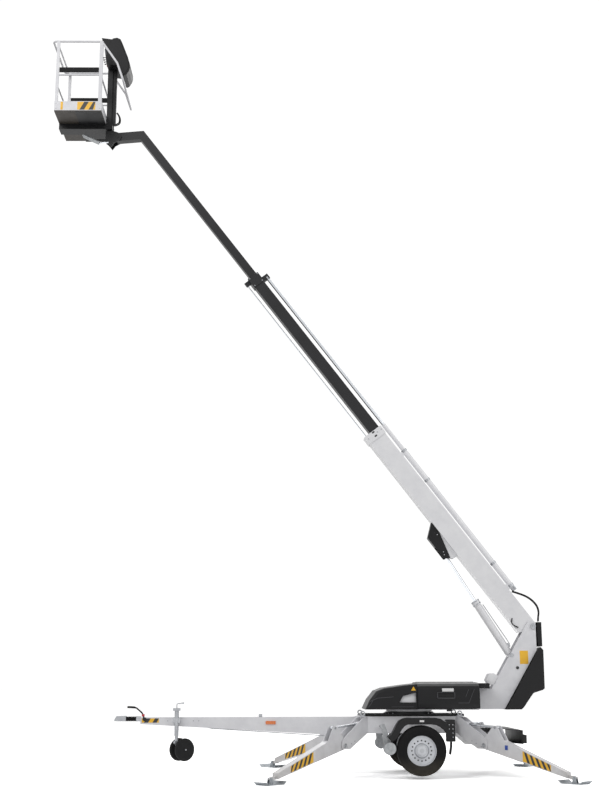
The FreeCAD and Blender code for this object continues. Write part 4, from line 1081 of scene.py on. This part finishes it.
@dataclass
class BoomDetails:
    """Pads, rings, hose ends and the painted shade of openings along the boom."""

    def build(self) -> None:
        """Makes the pieces."""
        self.base_head()
        self.cylinder_rings()
        self.middle_head()
        self.hose_bundle()
        self.lift_rings()
        self.guard_bolts()

    def base_head(self) -> None:
        """Black discs painted as the shade inside the collar's openings, and wear-pad screws in the first
        section's collar.
        """
        shade_discs = []
        screws = []
        for side in (-1, 1):
            face = side * 0.1125
            # painted shade: black discs where the collar's openings would show dark
            for x in (3.535, 3.60):
                for z in (-0.065, -0.085):
                    shade_discs.append(bar((x, face - side * 3 * MM, z), (x, face + side * 0.4 * MM, z), 13 * MM,
                                     0.3 * MM))
            for z in (-0.19, -0.02, 0.05):
                screws.append(bar((3.565, face, z), (3.565, face + side * 6 * MM, z), 9 * MM, 1 * MM, 6))
        settle(joined(shade_discs), "boom_head_opening_shade", BLACK_FILM_AND_SHADE, Body.BOOM, BOOM)
        settle(joined(screws), "boom_head_screws", ZINC, Body.BOOM, BOOM)

    def cylinder_rings(self) -> None:
        """Clamps and end caps on the telescope cylinder."""
        rings = []
        for start in (0.62, 1.02, 2.55, 3.10):
            rings.append(turned([(start, 0.034), (start, 0.0445), (start + 0.035, 0.0445),
                                 (start + 0.035, 0.034)], (0, 0, 0.137), 40, "X"))
        settle(joined(rings), "telescope_rings", ZINC, Body.BOOM, BOOM)
        ends = [block((0.545, -0.03, 0.105), (0.625, 0.03, 0.175), 8 * MM),
                bar((0.58, -0.03, 0.15), (0.58, -0.075, 0.15), 12 * MM, 1 * MM, 6)]
        settle(joined(ends), "telescope_hose_end", ZINC, Body.BOOM, BOOM)

    def middle_head(self) -> None:
        """Screws and the rod's clamp at the second section's collar."""
        screws = []
        for side in (-1, 1):
            face = side * 0.0905
            for x in (6.47, 6.60):
                for z in (-0.10, 0.04):
                    screws.append(bar((x, face, z), (x, face + side * 5 * MM, z), 8 * MM, 1 * MM, 6))
        screws.append(turned([(6.452, 0.024), (6.452, 0.034), (6.49, 0.034), (6.49, 0.024)], (0, 0, 0.137),
                             32, "X"))
        settle(joined(screws), "middle_head_screws", ZINC, Body.MIDDLE, BOOM)

    def hose_bundle(self) -> None:
        """The hoses from the boom's foot into the mast's top."""
        low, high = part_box("boom_hose")
        points = []
        for x, z in ((1.441, 2.534), (1.560, 2.500), (1.690, 2.440), (1.790, 2.340), (1.815, 2.240),
                     (1.800, 2.170), (1.797, 2.110)):
            points.append(MACHINE @ Vector((x, -0.06, z)))
        bundle = [hose(points, 12 * MM),
                  hose([point + Vector((0, 0.028, -0.004)) for point in points], 10 * MM)]
        piece = settle(joined(bundle), "boom_hoses", SOLID_RUBBER, Body.BOOM)
        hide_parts("boom_hose")
        loop = [(1.42, -0.102, 2.15), (1.40, -0.115, 2.10), (1.42, -0.12, 2.05), (1.50, -0.115, 2.02)]
        small = [MACHINE @ Vector(point) for point in loop]
        settle(hose(small, 8 * MM), "foot_hose", SOLID_RUBBER, Body.BOOM)

    def lift_rings(self) -> None:
        """The gland ring and hose port of the lift cylinder."""
        axis = Vector(joint("lift_piston_slide")["axis"])
        foot = Vector(joint("lift_cylinder_swing")["pos_m"])
        up = Vector((axis.z, 0, -axis.x))
        place = Matrix.Translation(foot) @ Matrix((axis, Vector((0, 1, 0)), up)).transposed().to_4x4()
        parts = [turned([(start, 0.053), (start, 0.064), (start + 0.02, 0.064), (start + 0.02, 0.053)],
                        (0, 0, 0), 40, "X") for start in (0.84, 0.885)]
        parts.append(block((0.10, -0.02, 0.05), (0.16, 0.02, 0.075), 4 * MM))
        parts.append(hose([(0.13, 0, 0.07), (0.13, 0, 0.085), (0.22, 0, 0.085), (0.80, 0, 0.072)], 6 * MM,
                          False))
        settle(joined(parts), "lift_cylinder_ports", ZINC, Ram.LIFT, place)

    def guard_bolts(self) -> None:
        """Bolts on the guard over the cylinder's head."""
        heads = [bar((x, side * 0.066, z), (x, side * 0.071, z), 8 * MM, 1 * MM, 6)
                 for side in (-1, 1) for x, z in ((1.60, -0.345), (1.56, -0.36), (1.85, -0.26))]
        settle(joined(heads), "guard_bolts", ZINC, Body.BOOM, BOOM)


class Ram(Enum):
    """The barrels that pieces ride on."""

    LIFT = "lift_cylinder"


@dataclass
class BasketDetails:
    """Warning bands, controls, pads, hoses and the swing actuator of the basket."""

    half_deep: float = 0.540

    def build(self) -> None:
        """Makes the pieces."""
        self.bands()
        self.panel()
        self.paper_holder()
        self.actuator()
        self.hoses()
        self.pads()

    def bands(self) -> None:
        """Warning bands on both long toe boards."""
        for tag, side in (("left", -1), ("right", 1)):
            face = side * self.half_deep
            warning_band("toe_band_" + tag, Body.BASKET, BASKET, (-0.565, -0.290, 0.226, 0.226, 0.356, 0.356),
                         face, 2, 0.07)
            deep = sorted((face, face + side * 0.8 * MM))
            settle(block((-0.820, deep[0], 0.226), (-0.785, deep[1], 0.356), 0.3 * MM),
                   "toe_mark_" + tag, YELLOW, Body.BASKET, BASKET)

    def panel(self) -> None:
        """The control panel's face with its levers, switches and stop button."""
        tilt = Matrix.Translation((-0.155, 0, 1.30)) @ Matrix.Rotation(math.radians(-8), 4, "Y")
        face = block((-0.060, -0.205, -0.12), (-0.030, 0.205, 0.13), 6 * MM)
        settle(face, "console_face", PANEL, Body.BASKET, BASKET @ tilt)
        levers = []
        for index in range(4):
            y = -0.13 + index * 0.07
            levers.append(turned([(-0.112, 0.0), (-0.108, 0.010), (-0.095, 0.011), (-0.085, 0.005),
                                  (-0.060, 0.005), (-0.058, 0.016), (-0.052, 0.016), (-0.052, 0.0)],
                                 (0, y, 0.02), 24, "X"))
        settle(joined(levers), "console_levers", SOLID_RUBBER, Body.BASKET, BASKET @ tilt)
        stop = turned([(-0.088, 0.0), (-0.086, 0.018), (-0.074, 0.020), (-0.072, 0.011), (-0.058, 0.011),
                       (-0.058, 0.0)], (0, 0.16, 0.03), 32, "X")
        settle(stop, "console_stop_button", RED_PLASTIC, Body.BASKET, BASKET @ tilt)
        keys = [bar((-0.066, -0.17 + 0.03 * index, -0.07), (-0.058, -0.17 + 0.03 * index, -0.07), 7 * MM)
                for index in range(12)]
        settle(joined(keys), "console_switches", ZINC, Body.BASKET, BASKET @ tilt)

    def paper_holder(self) -> None:
        """The wire bail over the paper holder."""
        wire = hose([(-0.115, -0.07, 1.60), (-0.07, -0.07, 1.652), (-0.045, -0.07, 1.60)], 4 * MM, False)
        settle(wire, "paper_holder_bail", ZINC, Body.BASKET, BASKET)

    def actuator(self) -> None:
        """The cylinder that swings the basket, under its floor."""
        body = bar((-0.522, -0.06, 0.010), (-0.284, -0.06, -0.105), 30 * MM, 4 * MM, 32)
        rod = bar((-0.284, -0.06, -0.105), (-0.140, -0.078, -0.098), 10 * MM)
        eye = bar((-0.535, -0.085, 0.016), (-0.535, -0.035, 0.016), 16 * MM, 2 * MM)
        settle(joined([body, eye]), "swing_cylinder", CAST_ALLOY, Body.CARRIER, BASKET)
        settle(rod, "swing_cylinder_rod", CHROME, Body.CARRIER, BASKET)
        bracket = block((-0.390, -0.086, -0.078), (-0.165, -0.034, -0.050), 4 * MM)
        settle(bracket, "swing_cylinder_bracket", BLACK, Body.CARRIER, BASKET)

    def hoses(self) -> None:
        """Hoses that loop from the post down to the carrier."""
        runs = [hose([(-0.035, -0.02, 0.42), (0.0, -0.02, 0.37), (0.012, -0.02, 0.30), (0.0, -0.02, 0.24),
                      (-0.05, -0.02, 0.225)], 9 * MM),
                hose([(-0.035, 0.015, 0.44), (0.012, 0.015, 0.38), (0.024, 0.015, 0.29), (0.0, 0.015, 0.235),
                      (-0.05, 0.015, 0.222)], 9 * MM)]
        settle(joined(runs), "basket_hoses", SOLID_RUBBER, Body.BASKET, BASKET)

    def pads(self) -> None:
        """Post feet bolts."""
        heads = []
        for x in (-0.889, -0.226):
            for side in (-1, 1):
                for z in (0.25, 0.33):
                    face = side * 0.5405
                    heads.append(bar((x, face, z), (x, face + side * 4 * MM, z), 6 * MM, 0.8 * MM, 6))
        settle(joined(heads), "toe_board_bolts", ZINC, Body.BASKET, BASKET)


def main() -> None:
    """Builds the machine's looks in order."""
    logging.basicConfig(level=logging.INFO)
    Studio().build()
    dress_nodes()
    RoadWheel("left", Body.WHEEL_LEFT, -1).build()
    RoadWheel("right", Body.WHEEL_RIGHT, 1).build()
    Outriggers().build()
    TowBar().build()
    ChassisDetails().build()
    TurretDetails().build()
    BoomDetails().build()
    BasketDetails().build()


if __name__ == "__main__":
    main()
